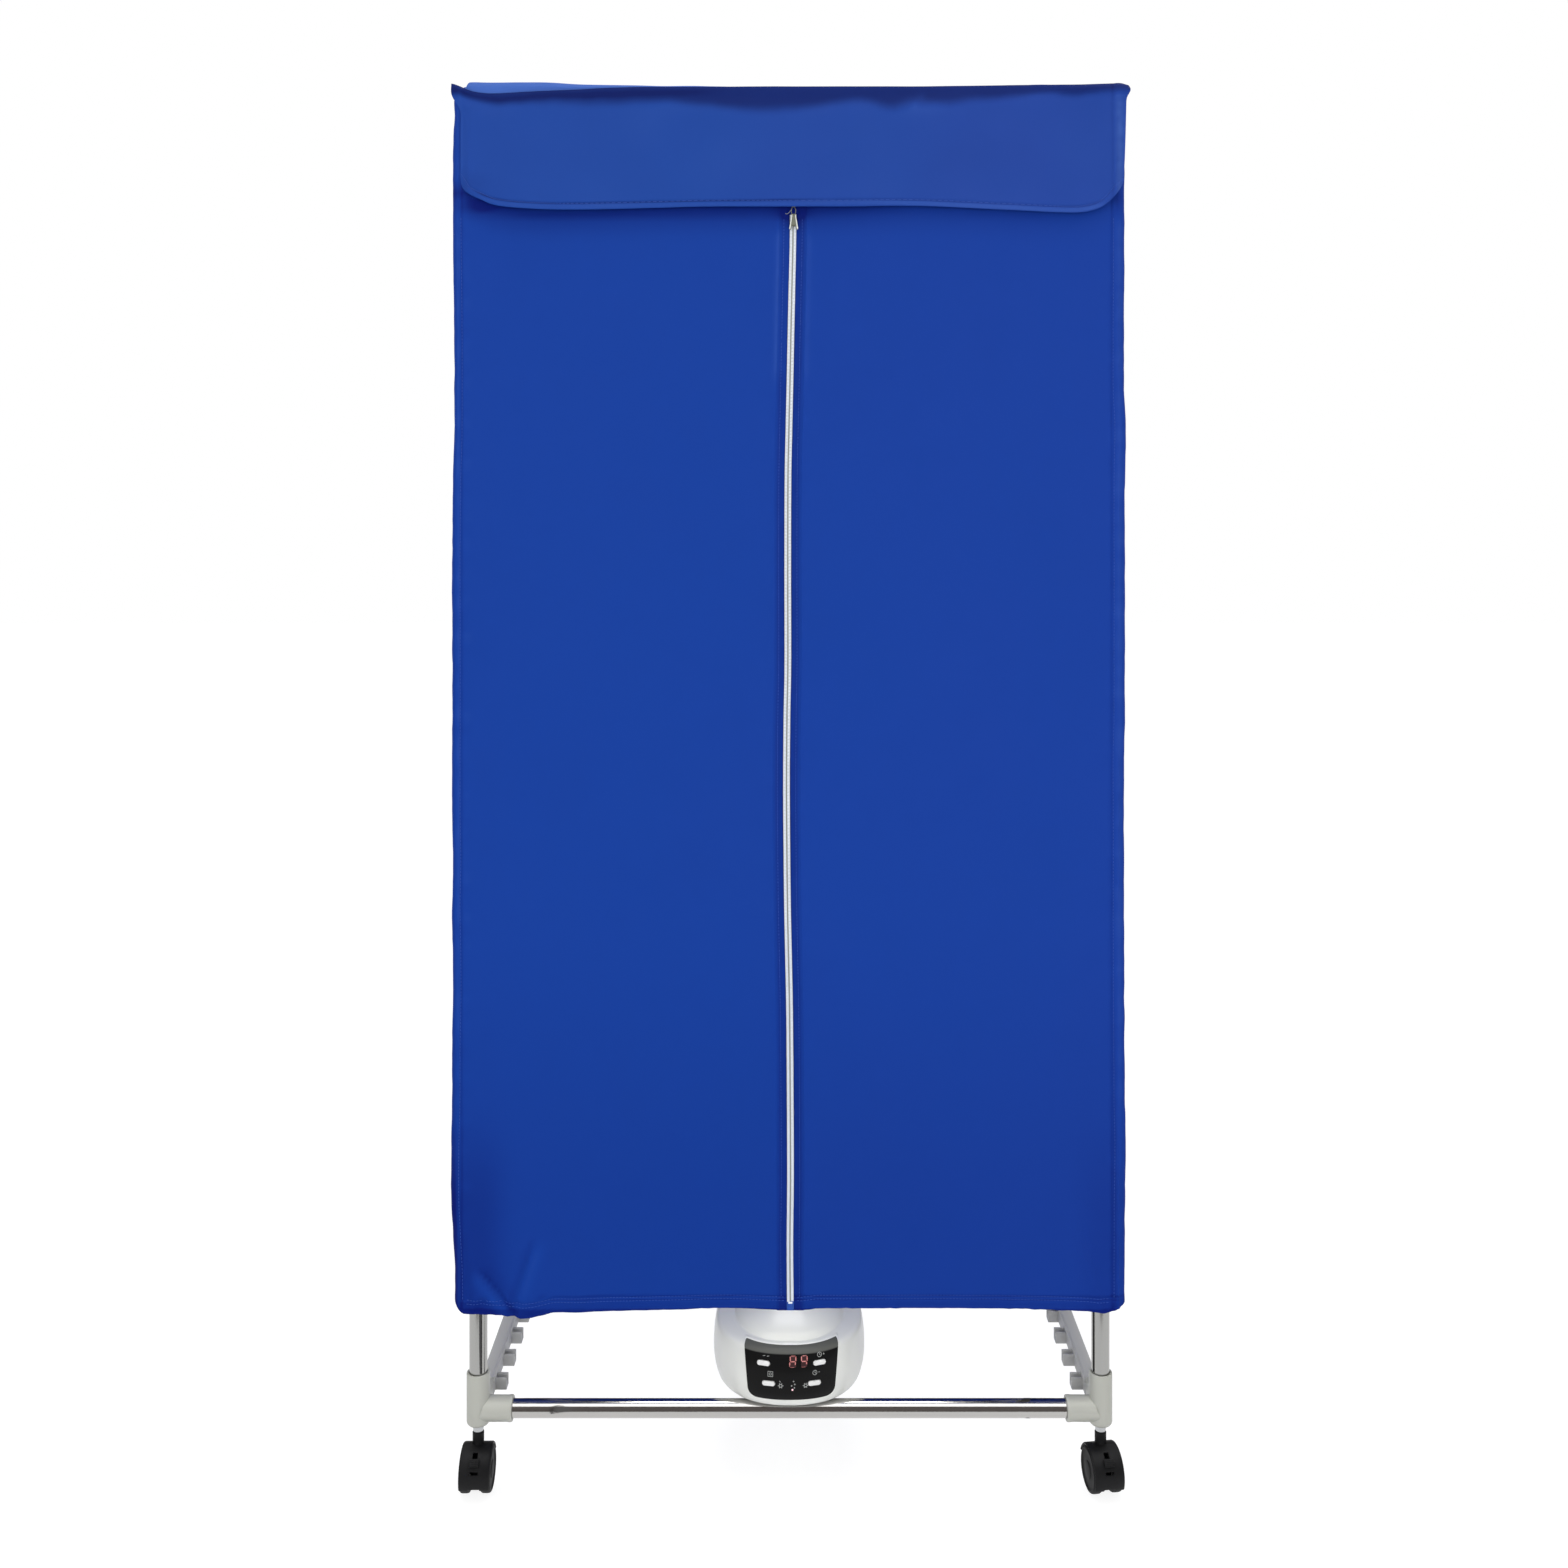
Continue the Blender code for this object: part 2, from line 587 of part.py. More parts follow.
def lever_frame(radius, sideways):
    """A point of the lever's side view: out along its arm, and round towards the floor."""
    out = (-math.cos(LEVER_ANGLE), math.sin(LEVER_ANGLE))
    down = (-math.sin(LEVER_ANGLE), -math.cos(LEVER_ANGLE))
    return (-TRAIL + out[0] * radius + down[0] * sideways,
            WHEEL_RADIUS + out[1] * radius + down[1] * sideways)


def hood(name, place, brake, material):
    inner = WHEEL_RADIUS + HOOD_CLEARANCE
    outer = inner + HOOD_WALL
    overall = WEB_WIDTH + 2 * (WHEEL_WIDTH + FIT)
    steps = range(HOOD_STEPS + 1)
    angles = [HOOD_START + (HOOD_END - HOOD_START) * step / HOOD_STEPS for step in steps]
    shell = [hood_point(outer, angle) for angle in angles]
    shell += [hood_point(inner, angle) for angle in reversed(angles)]
    body = add_object(name, extruded(shell, -overall / 2, overall / 2), material)
    body.parent = place
    web = [hood_point(outer - HOOD_WALL / 2, angle) for angle in angles]
    web.append((-TRAIL + WEB_DROP, WHEEL_RADIUS - WEB_DROP))
    web.append((-TRAIL - WEB_DROP, WHEEL_RADIUS - WEB_DROP))
    join(body, extruded(web, -WEB_WIDTH / 2, WEB_WIDTH / 2))
    neck_top = FRAME_BOTTOM - FIT - NUT_HEIGHT - FIT
    stem_end = neck_top - STEM_DEPTH
    join(body, bar((0, 0, stem_end - HOOD_WALL), (0, 0, neck_top), NECK_RADIUS))
    cut(body, bar((0, 0, stem_end - FIT), (0, 0, neck_top + OVERRUN), STEM_RADIUS + FIT, SMALL_SIDES))
    cut(body, bar((-WEB_WIDTH, -TRAIL, WHEEL_RADIUS), (WEB_WIDTH, -TRAIL, WHEEL_RADIUS),
                  AXLE_RADIUS + FIT, SMALL_SIDES))
    if brake:
        slot_low = LEVER_INNER - LEVER_ROOM_INSIDE
        above = -LEVER_THICKNESS / 2 - LEVER_ROOM_ABOVE
        below = LEVER_THICKNESS / 2 + LEVER_ROOM_BELOW
        slot = [lever_frame(slot_low, above), lever_frame(slot_low, below),
                lever_frame(outer + OVERRUN, below), lever_frame(outer + OVERRUN, above)]
        cut(body, extruded(slot, -LEVER_WIDTH / 2 - FIT, LEVER_WIDTH / 2 + FIT))
        pin_y, pin_z = lever_frame(LEVER_PIVOT, 0)
        cut(body, bar((-WEB_WIDTH, pin_y, pin_z), (WEB_WIDTH, pin_y, pin_z),
                      LEVER_PIN_RADIUS + FIT, SMALL_SIDES))


def brake_lever(name, place, material):
    outer = WHEEL_RADIUS + HOOD_CLEARANCE + HOOD_WALL + LEVER_LIFT
    half = LEVER_THICKNESS / 2
    tip = outer + LEVER_THICKNESS
    middle = (outer + tip) / 2
    arm = [lever_frame(LEVER_INNER, -half), lever_frame(LEVER_INNER, half), lever_frame(middle, half),
           lever_frame(middle, -half)]
    lip = [lever_frame(outer, -LEVER_THICKNESS), lever_frame(outer, LEVER_LIP),
           lever_frame(tip, LEVER_LIP), lever_frame(tip, -LEVER_THICKNESS)]
    lever = add_object(name, extruded(arm, -LEVER_WIDTH / 2, LEVER_WIDTH / 2), material)
    lever.parent = place
    join(lever, extruded(lip, -LEVER_LIP_WIDTH / 2, LEVER_LIP_WIDTH / 2))
    pin_y, pin_z = lever_frame(LEVER_PIVOT, 0)
    half_pin = LEVER_PIN_LENGTH / 2
    join(lever, bar((-half_pin, pin_y, pin_z), (half_pin, pin_y, pin_z), LEVER_PIN_RADIUS, SMALL_SIDES))


def wheel_pair(name, place, material):
    """Two wheels and the axle between them, turned about the axle. A flat of each tread is down."""
    near = WEB_WIDTH / 2 + FIT
    far = near + WHEEL_WIDTH
    half_step = math.pi / WHEEL_STEPS
    tread = WHEEL_RADIUS / math.cos(half_step)
    rim = tread - WHEEL_CHAMFER
    half = ((AXLE_RADIUS, near), (rim, near), (tread, near + WHEEL_CHAMFER),
            (tread, far - WHEEL_CHAMFER), (rim, far),
            (rim - WHEEL_CHAMFER, far - WHEEL_DISH), (0, far - WHEEL_DISH))
    profile = [(radius, -height) for radius, height in reversed(half)] + list(half)
    turn = (Matrix.Translation((0, -TRAIL, WHEEL_RADIUS)) @ Matrix.Rotation(math.pi / 2, 4, "Y")
            @ Matrix.Rotation(half_step, 4, "Z"))
    wheels = add_object(name, spun(profile, WHEEL_STEPS, matrix=turn), material)
    wheels.parent = place


def stem(name, place, material):
    nut_top = FRAME_BOTTOM - FIT
    nut_bottom = nut_top - NUT_HEIGHT
    low, high = nut_bottom - FIT - STEM_DEPTH, FRAME_BOTTOM + STEM_SOCKET
    profile = ((0, low), (STEM_RADIUS, low), (STEM_RADIUS, nut_bottom), (NUT_RADIUS, nut_bottom),
               (NUT_RADIUS, nut_top), (STEM_RADIUS, nut_top), (STEM_RADIUS, high), (0, high))
    bolt = add_object(name, spun(profile, SMALL_SIDES), material)
    bolt.parent = place


def add_casters(black, zinc):
    """The rear casters are the front ones turned half round about the frame's centre."""
    corners = (("front_left", -1, -1, YAW_LEFT), ("front_right", 1, -1, YAW_RIGHT),
               ("rear_right", 1, 1, YAW_LEFT + math.pi), ("rear_left", -1, 1, YAW_RIGHT + math.pi))
    for corner, side_x, side_y, yaw in corners:
        place = bpy.data.objects.new(f"swivel_{corner}", None)
        bpy.context.collection.objects.link(place)
        place.location = (side_x * HALF_X, side_y * HALF_Y, 0)
        place.rotation_euler = (0, 0, yaw)
        brake = side_y < 0
        hood(f"caster_hood_{corner}", place, brake, black)
        wheel_pair(f"caster_wheels_{corner}", place, black)
        stem(f"caster_stem_{corner}", place, zinc)
        if brake:
            brake_lever(f"brake_lever_{corner}", place, black)


# Heater


def heater_ring(width_share, depth_share, height, grow=0.0):
    """A rounded ring of the heater's plan, grown outwards by a set amount."""
    half_width = HEATER_WIDTH / 2 * width_share + grow
    half_depth = HEATER_DEPTH / 2 * depth_share + grow
    power = 2 / HEATER_POWER
    points = []
    for step in range(HEATER_SIDES):
        angle = math.tau * (step + 0.5) / HEATER_SIDES
        across, back = math.cos(angle), math.sin(angle)
        points.append((math.copysign(abs(across) ** power, across) * half_width,
                       math.copysign(abs(back) ** power, back) * half_depth, height))
    return points


def heater_skin(grow=0.0, closed=False):
    """The heater's outer skin from its bottom rim to the top of its dome."""
    shape = bmesh.new()
    rings = []
    for width_share, depth_share, height_share in HEATER_RING_SHARES:
        height = HEATER_HEIGHT * height_share
        points = heater_ring(width_share, depth_share, height, grow)
        rings.append([shape.verts.new(point) for point in points])
    for lower, upper in zip(rings, rings[1:]):
        for index in range(HEATER_SIDES):
            after = (index + 1) % HEATER_SIDES
            shape.faces.new((lower[index], lower[after], upper[after], upper[index]))
    shape.faces.new(rings[-1])
    if closed:
        shape.faces.new(list(reversed(rings[0])))
    return shape


def heater_front(x):
    """The depth of the heater's front skin at its widest ring, and which way it faces."""
    across = min(abs(x) / (HEATER_WIDTH / 2), 1.0)
    depth = (1 - across ** HEATER_POWER) ** (1 / HEATER_POWER)
    y = -HEATER_DEPTH / 2 * depth
    slope_x = (across ** (HEATER_POWER - 1)) / (HEATER_WIDTH / 2)
    slope_y = (depth ** (HEATER_POWER - 1)) / (HEATER_DEPTH / 2)
    return y, math.atan2(math.copysign(slope_x, x), slope_y)


def panel_prism(grow):
    """The panel's outline as the front shows it, run back through the front wall."""
    top, bottom = PANEL_TOP + grow, PANEL_BOTTOM - grow
    half_top, half_bottom = PANEL_WIDTH / 2 + grow, PANEL_BOTTOM_WIDTH / 2 + grow
    corner = PANEL_CORNER + grow
    right = arc((PANEL_SHIFT + half_bottom - corner, bottom + corner), corner, -math.pi / 2, 0,
                PANEL_CORNER_STEPS)
    left = arc((PANEL_SHIFT - half_bottom + corner, bottom + corner), corner, -math.pi, -math.pi / 2,
               PANEL_CORNER_STEPS)
    outline = right + [(PANEL_SHIFT + half_top, top), (PANEL_SHIFT - half_top, top)] + left
    return extruded(outline, -HEATER_DEPTH, -HEATER_DEPTH / 4, "Y")


def pill(place, grow, depth_low, depth_high):
    """A button's shape: a bar with round ends, extruded along its own -Y."""
    radius = BUTTON_HEIGHT / 2 + grow
    reach = BUTTON_LENGTH / 2 - BUTTON_HEIGHT / 2
    outline = (arc((reach, 0), radius, -math.pi / 2, math.pi / 2, BUTTON_ARC_STEPS)
               + arc((-reach, 0), radius, math.pi / 2, math.pi * 3 / 2, BUTTON_ARC_STEPS))
    shape = extruded(outline, -depth_high, -depth_low, "Y")
    bmesh.ops.transform(shape, matrix=place, verts=shape.verts)
    return shape


def button_places():
    """Each button's name and its place on the panel, square to the skin there."""
    places = []
    for level_name, level, spacing in (("upper", UPPER_BUTTON_LEVEL, UPPER_BUTTON_SPACING),
                                       ("lower", LOWER_BUTTON_LEVEL, LOWER_BUTTON_SPACING)):
        for side, side_name in ((-1, "left"), (1, "right")):
            x = PANEL_SHIFT + side * spacing / 2
            y, turn = heater_front(x)
            place = Matrix.Translation((x, y, level)) @ Matrix.Rotation(turn, 4, "Z")
            places.append((f"button_{level_name}_{side_name}", place))
    return places


def add_heater(white, black, pale, metal, dark):
    centre = bpy.data.objects.new("heater_centre", None)
    bpy.context.collection.objects.link(centre)
    centre.location = (0, HEATER_Y, HEATER_FLOOR)

    shell = add_object("heater_shell", heater_skin(), white)
    shell.parent = centre
    solidify(shell, HEATER_WALL)
    cut(shell, panel_prism(FIT))
    slots = []
    for index in range(OUTLET_COUNT):
        x = (index - (OUTLET_COUNT - 1) / 2) * OUTLET_PITCH
        slots.append(box((x - OUTLET_WIDTH / 2, OUTLET_START, HEATER_HEIGHT * OUTLET_LEVEL_SHARE),
                         (x + OUTLET_WIDTH / 2, OUTLET_END, HEATER_HEIGHT + OVERRUN)))
    cut(shell, *slots)
    cut(shell, bar((0, HEATER_DEPTH / 4, CORD_HOLE_LEVEL), (0, HEATER_DEPTH, CORD_HOLE_LEVEL),
                   CORD_HOLE_RADIUS, SMALL_SIDES))

    panel = add_object("control_panel", heater_skin(PANEL_PROUD, closed=True), black)
    panel.parent = centre
    shape_with(panel, heater_skin(PANEL_PROUD - PANEL_THICKNESS, closed=True), "DIFFERENCE")
    shape_with(panel, panel_prism(0), "INTERSECT")
    places = button_places()
    reach = BUTTON_DEPTH + OVERRUN
    cut(panel, *[pill(place, FIT, -reach, reach) for _, place in places])
    for name, place in places:
        button = add_object(name, pill(Matrix(), 0, BUTTON_PROUD - BUTTON_DEPTH, BUTTON_PROUD), pale)
        button.parent = centre
        button.matrix_local = place

    rim_share = HEATER_RING_SHARES[0][0]
    ring = [(x, y) for x, y, _ in heater_ring(rim_share, rim_share, 0, -HEATER_WALL - BASE_SIDE_GAP)]
    base = add_object("heater_base", extruded(ring, 0, BASE_THICKNESS, "Z"), white)
    base.parent = centre
    foot_bottom = SUPPORT_RADIUS - TUBE_RADIUS
    feet = [box((x - FOOT_WIDTH / 2, FOOT_OFFSET, foot_bottom),
                (x + FOOT_WIDTH / 2, FOOT_OFFSET + FOOT_LENGTH, BASE_THICKNESS / 2))
            for x in (-SUPPORT_SPACING / 2, SUPPORT_SPACING / 2)]
    pillars = [bar((x, 0, BASE_THICKNESS / 2), (x, 0, PILLAR_HEIGHT), PILLAR_RADIUS, SMALL_SIDES)
               for x in (-PILLAR_SPACING / 2, PILLAR_SPACING / 2)]
    join(base, *feet, *pillars)
    intakes = []
    for index in range(INTAKE_COUNT):
        turn = Matrix.Rotation(math.tau * (index + 0.5) / INTAKE_COUNT, 4, "Z")
        slot = box((INTAKE_START, -INTAKE_WIDTH / 2, -2 * OVERRUN),
                   (INTAKE_END, INTAKE_WIDTH / 2, BASE_THICKNESS + OVERRUN))
        bmesh.ops.transform(slot, matrix=turn, verts=slot.verts)
        intakes.append(slot)
    cut(base, *intakes)

    shaft_top = MOTOR_HEIGHT + SHAFT_LENGTH
    motor = add_object("fan_motor", spun(((0, 0), (MOTOR_RADIUS, 0), (MOTOR_RADIUS, MOTOR_HEIGHT),
                                          (SHAFT_RADIUS, MOTOR_HEIGHT), (SHAFT_RADIUS, shaft_top),
                                          (0, shaft_top)), ROUND_SIDES), metal)
    motor.parent = centre
    motor.location = (0, 0, BASE_THICKNESS + FIT)

    impeller = add_object("fan_impeller", bar((0, 0, 0), (0, 0, HUB_HEIGHT), HUB_RADIUS), dark)
    impeller.parent = centre
    impeller.location = (0, 0, BASE_THICKNESS + FIT + MOTOR_HEIGHT + HUB_GAP)
    blades = []
    for index in range(BLADE_COUNT):
        blade = box((HUB_RADIUS - BLADE_THICKNESS * 2, -BLADE_CHORD / 2, -BLADE_THICKNESS / 2),
                    (BLADE_TIP, BLADE_CHORD / 2, BLADE_THICKNESS / 2))
        place = (Matrix.Rotation(math.tau * index / BLADE_COUNT, 4, "Z")
                 @ Matrix.Translation((0, 0, HUB_HEIGHT / 2)) @ Matrix.Rotation(BLADE_PITCH, 4, "X"))
        bmesh.ops.transform(blade, matrix=place, verts=blade.verts)
        blades.append(blade)
    for blade in blades:
        join(impeller, blade)
    cut(impeller, bar((0, 0, -OVERRUN), (0, 0, HUB_HEIGHT + OVERRUN), SHAFT_RADIUS + FIT))

    block = box((-ELEMENT_WIDTH / 2, -ELEMENT_DEPTH / 2, 0),
                (ELEMENT_WIDTH / 2, ELEMENT_DEPTH / 2, ELEMENT_HEIGHT))
    element = add_object("heating_element", block, metal)
    element.parent = centre
    element.location = (0, 0, PILLAR_HEIGHT + FIT)
    windows = []
    for index in range(ELEMENT_SLOTS):
        x = (index - (ELEMENT_SLOTS - 1) / 2) * ELEMENT_SLOT_PITCH
        windows.append(box((x - ELEMENT_SLOT_WIDTH / 2, ELEMENT_FRAME - ELEMENT_DEPTH / 2, -OVERRUN),
                           (x + ELEMENT_SLOT_WIDTH / 2, ELEMENT_DEPTH / 2 - ELEMENT_FRAME,
                            ELEMENT_HEIGHT + OVERRUN)))
    cut(element, *windows)


# Fabric cover, zip and flap


def zip_x(share):
    """Where the zip's centre line runs at a share of the cover's height, between its rows."""
    rows = list(zip(COVER_ROW_SHARES, ZIP_WANDER_SHARES))
    for (low, start), (high, end) in zip(rows, rows[1:]):
        if share <= high:
            return ZIP_SHIFT + ZIP_WANDER * (start + (end - start) * (share - low) / (high - low))
    return ZIP_SHIFT + ZIP_WANDER * rows[-1][1]


def crease(x, height, reach, rise):
    """How near a point is to a crease that climbs from the gather, from 0 to 1."""
    start = Vector((GATHER_X, 0))
    run = Vector((reach, rise))
    offset = Vector((x, height)) - start
    share = min(max(offset.dot(run) / run.length_squared, 0.0), 1.0)
    distance = (offset - run * share).length
    return max(0.0, 1.0 - distance / GATHER_WIDTH) * (1.0 - share * share / 2)


def cover_columns(share):
    """The cover's outline from the zip's right edge round the back to its left edge.

    Each entry is a point on the flat pattern, the way it faces and how deep its folds are."""
    gap = ZIP_WIDTH / 2 + FIT
    x_right, x_left = zip_x(share) + gap, zip_x(share) - gap
    half_x, half_y = COVER_WIDTH / 2, COVER_DEPTH / 2
    flat_x, flat_y = half_x - COVER_CORNER, half_y - COVER_CORNER
    columns = []
    for at in FRONT_RIGHT_SHARES:
        depth = FRONT_FOLD_DEPTH * min(1, FOLD_ZIP_FADE * at)
        columns.append((x_right + (flat_x - x_right) * at, -half_y, 0, -1, depth))
    for corner_x, corner_y, start in ((1, -1, -90), (1, 1, 0), (-1, 1, 90), (-1, -1, 180)):
        for step in range(COVER_CORNER_STEPS + 1):
            angle = math.radians(start + 90 * step / COVER_CORNER_STEPS)
            out_x, out_y = math.cos(angle), math.sin(angle)
            columns.append((corner_x * flat_x + COVER_CORNER * out_x,
                            corner_y * flat_y + COVER_CORNER * out_y, out_x, out_y, FOLD_DEPTH / 2))
        if corner_y < 0 < corner_x:
            columns += [(half_x, -flat_y + 2 * flat_y * at, 1, 0, FOLD_DEPTH) for at in SIDE_SHARES[1:]]
        elif corner_x > 0:
            columns += [(flat_x - 2 * flat_x * at, half_y, 0, 1, FOLD_DEPTH) for at in BACK_SHARES[1:]]
        elif corner_y > 0:
            columns += [(-half_x, flat_y - 2 * flat_y * at, -1, 0, FOLD_DEPTH) for at in SIDE_SHARES[1:]]
    for at in reversed(FRONT_LEFT_SHARES):
        depth = FRONT_FOLD_DEPTH * min(1, FOLD_ZIP_FADE * at)
        columns.append((x_left + (-flat_x - x_left) * at, -half_y, 0, -1, depth))
    return columns


def cover_row(share):
    """One row of the cover's outer face: its folds deepen towards the hem."""
    height = COVER_TOP - COVER_HEM
    columns = cover_columns(share)
    loose = (1 - share) ** FOLD_GROWTH_POWER
    fade = min(1, FOLD_TOP_FADE * (1 - share))
    points = []
    for number, (x, y, out_x, out_y, depth) in enumerate(columns):
        wave = math.sin(math.tau * FOLD_COUNT * number / len(columns) + FOLD_LEAN * share)
        push = -depth * (1 + wave) / 2 * (FOLD_LEAST_SHARE + loose) * fade
        z = COVER_HEM + height * share
        if out_y < -abs(out_x):
            above = height * share
            push -= GATHER_DEPTH * max(crease(x, above, -GATHER_REACH_LEFT, GATHER_HEIGHT_LEFT),
                                       crease(x, above, GATHER_REACH_RIGHT, GATHER_HEIGHT_RIGHT))
            droop = math.exp(-((x - GATHER_X) / HEM_DROOP_WIDTH) ** 2)
            z -= HEM_DROOP * droop * max(0.0, 1 - above / GATHER_HEIGHT_RIGHT)
        points.append((x + out_x * push, y + out_y * push, z))
    return points


def add_cover(fabric):
    rows = [cover_row(share) for share in COVER_ROW_SHARES]
    shape, lines = grid_sheet(rows)
    top = lines[-1]
    middle = [shape.verts.new((vert.co.x * TOP_MIDDLE_SHARE, vert.co.y * TOP_MIDDLE_SHARE, COVER_TOP))
              for vert in top]
    for index in range(len(top)):
        after = (index + 1) % len(top)
        shape.faces.new((top[index], top[after], middle[after], middle[index]))
    shape.faces.new(middle)
    cover = add_object("cover", shape, fabric)
    solidify(cover, COVER_THICKNESS)


def add_zip(nylon, metal):
    half = ZIP_WIDTH / 2
    height = COVER_TOP - COVER_HEM
    top_share = 1 - (2 * COVER_THICKNESS + FIT) / height
    shares = COVER_ROW_SHARES[:-1] + (top_share,)
    shape = bmesh.new()
    rings = []
    for share in shares:
        x, z = zip_x(share), COVER_HEM + height * share
        corners = ((x - half, ZIP_FRONT), (x + half, ZIP_FRONT),
                   (x + half, ZIP_FRONT + ZIP_THICKNESS), (x - half, ZIP_FRONT + ZIP_THICKNESS))
        rings.append([shape.verts.new((*corner, z)) for corner in corners])
    for lower, upper in zip(rings, rings[1:]):
        for index in range(len(lower)):
            after = (index + 1) % len(lower)
            shape.faces.new((lower[index], lower[after], upper[after], upper[index]))
    shape.faces.new(list(reversed(rings[0])))
    shape.faces.new(rings[-1])
    add_object("zip_chain", shape, nylon)

    slider_x = zip_x((SLIDER_TOP - COVER_HEM) / height)
    outline = ((-SLIDER_WIDTH / 2, 0), (SLIDER_WIDTH / 2, 0), (SLIDER_WIDTH / 2, -SLIDER_SHOULDER),
               (SLIDER_TAIL_WIDTH / 2, -SLIDER_LENGTH), (-SLIDER_TAIL_WIDTH / 2, -SLIDER_LENGTH),
               (-SLIDER_WIDTH / 2, -SLIDER_SHOULDER))
    slider = add_object("zip_slider", extruded(outline, -SLIDER_THICKNESS, 0, "Y"), metal)
    slider.location = (slider_x, ZIP_FRONT - FIT, SLIDER_TOP)
    pull_half = PULL_WIDTH / 2
    pull = add_object("zip_pull", box((-pull_half, -PULL_THICKNESS, -PULL_OVERLAP),
                                      (pull_half, 0, PULL_LENGTH - PULL_OVERLAP)), metal)
    pull.location = (slider_x, ZIP_FRONT - FIT - SLIDER_THICKNESS - FIT, SLIDER_TOP)


def flap_bottom(x):
    """The flap's lower edge, with its rounded corners."""
    half = FLAP_WIDTH / 2
    edge = COVER_TOP - FLAP_HEIGHT - FLAP_SAG_RIGHT * max(0.0, x / half)
    for corner, rise, inside in ((FLAP_CORNER_LEFT, FLAP_CORNER_HEIGHT_LEFT, half + x),
                                 (FLAP_CORNER_RIGHT, FLAP_CORNER_HEIGHT_RIGHT, half - x)):
        if inside < corner:
            edge += rise * (1 - math.sqrt(max(0.0, 1 - (1 - inside / corner) ** 2)))
    return edge


def add_flap(fabric):
    top = COVER_TOP - FLAP_THICKNESS
    inner_y = ZIP_FRONT - FIT
    rows = []
    for down in reversed(FLAP_ROW_SHARES):
        row = []
        for across in FLAP_COLUMN_SHARES:
            x = FLAP_WIDTH / 2 * across
            z = top + (flap_bottom(x) - top) * down
            lean = (FLAP_LEAN + FLAP_RIPPLE * math.sin(math.tau * FLAP_RIPPLE_COUNT * across)) * down
            row.append((x, inner_y - FLAP_THICKNESS - lean, z))
        rows.append(row)
    shape, _ = grid_sheet(rows)
    flap = add_object("cover_flap", shape, fabric)
    solidify(flap, FLAP_THICKNESS)


def main():
    clear_scene()
    off_white = finish("off_white_plastic", (0.47, 0.47, 0.40), 0.45)
    grey = finish("grey_plastic", (0.38, 0.38, 0.40), 0.5)
    steel = finish("stainless_steel", (0.62, 0.61, 0.60), 0.18, 1.0)
    black = finish("black_plastic", (0.012, 0.012, 0.013), 0.5)
    zinc = finish("zinc_plate", (0.55, 0.56, 0.58), 0.3, 1.0)
    white = finish("white_plastic", (0.78, 0.78, 0.74), 0.35)
    gloss_black = finish("gloss_black_plastic", (0.008, 0.008, 0.009), 0.12)
    pale = finish("button_plastic", (0.85, 0.85, 0.85), 0.4)
    aluminium = finish("aluminium", (0.6, 0.6, 0.6), 0.4, 1.0)
    fabric = finish("blue_fabric", (0.014, 0.047, 0.33), 0.75)
    nylon = finish("zip_nylon", (0.66, 0.66, 0.68), 0.6)
    add_frame(off_white, steel)
    add_rails(grey, steel)
    add_casters(black, zinc)
    add_heater(white, gloss_black, pale, aluminium, black)
    add_cover(fabric)
    add_zip(nylon, zinc)
    add_flap(fabric)


main()
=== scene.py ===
"""Looks for the portable clothes dryer: tube frame, casters, fan heater, cloth cover and zip."""

import math

import bmesh
import bpy
from mathutils import Matrix, Vector, noise


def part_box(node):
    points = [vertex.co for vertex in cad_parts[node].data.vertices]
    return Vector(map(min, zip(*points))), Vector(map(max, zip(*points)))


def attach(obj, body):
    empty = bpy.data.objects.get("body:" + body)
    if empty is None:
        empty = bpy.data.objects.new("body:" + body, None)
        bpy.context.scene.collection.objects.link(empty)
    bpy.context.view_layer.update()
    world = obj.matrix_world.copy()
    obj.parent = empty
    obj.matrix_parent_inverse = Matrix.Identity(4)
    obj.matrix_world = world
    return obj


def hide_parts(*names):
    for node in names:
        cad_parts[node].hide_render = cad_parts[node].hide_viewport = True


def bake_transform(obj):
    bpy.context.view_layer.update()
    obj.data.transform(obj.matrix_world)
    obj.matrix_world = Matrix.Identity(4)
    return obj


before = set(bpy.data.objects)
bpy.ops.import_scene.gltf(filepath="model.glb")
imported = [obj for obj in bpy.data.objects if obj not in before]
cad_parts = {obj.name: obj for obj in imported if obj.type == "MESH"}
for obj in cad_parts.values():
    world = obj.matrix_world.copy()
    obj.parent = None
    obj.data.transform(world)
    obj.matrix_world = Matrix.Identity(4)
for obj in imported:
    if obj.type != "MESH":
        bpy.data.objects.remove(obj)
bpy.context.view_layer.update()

MM = 0.001
# Half the distances between the posts, and the heights where the frame starts and ends
HALF_X, HALF_Y = 330.5 * MM, 215.5 * MM
FRAME_BOTTOM, FRAME_TOP = 67.5 * MM, 1484.0 * MM
CORNERS = {"front_left": (-1, -1), "front_right": (1, -1), "rear_left": (-1, 1), "rear_right": (1, 1)}
QUARTER = math.pi / 2


# Camera, stage and light

CAMERA_PLACE = (-0.010, -HALF_Y - 1.6, 0.990)
FOCAL_LENGTH = 34.57
# How far the view is shifted, as shares of its width
SHIFT_X, SHIFT_Y = 4 / 1568, -229 / 1568
NEAR_LIMIT = 0.05
# The share of the sky that lights things, and how much light the paper gives back, lit and looked at
AMBIENT = 0.535
PAPER_LIT, PAPER_DIFFUSE = 0.86, 0.30
FLOOR_REACH = 20
# The low flags round the set: half width, half depth, height and tone
FLAG_WIDTH, FLAG_DEPTH, FLAG_HEIGHT = 1.15, 0.60, 0.50
FLAG_TONE = (0.125, 0.108, 0.104)
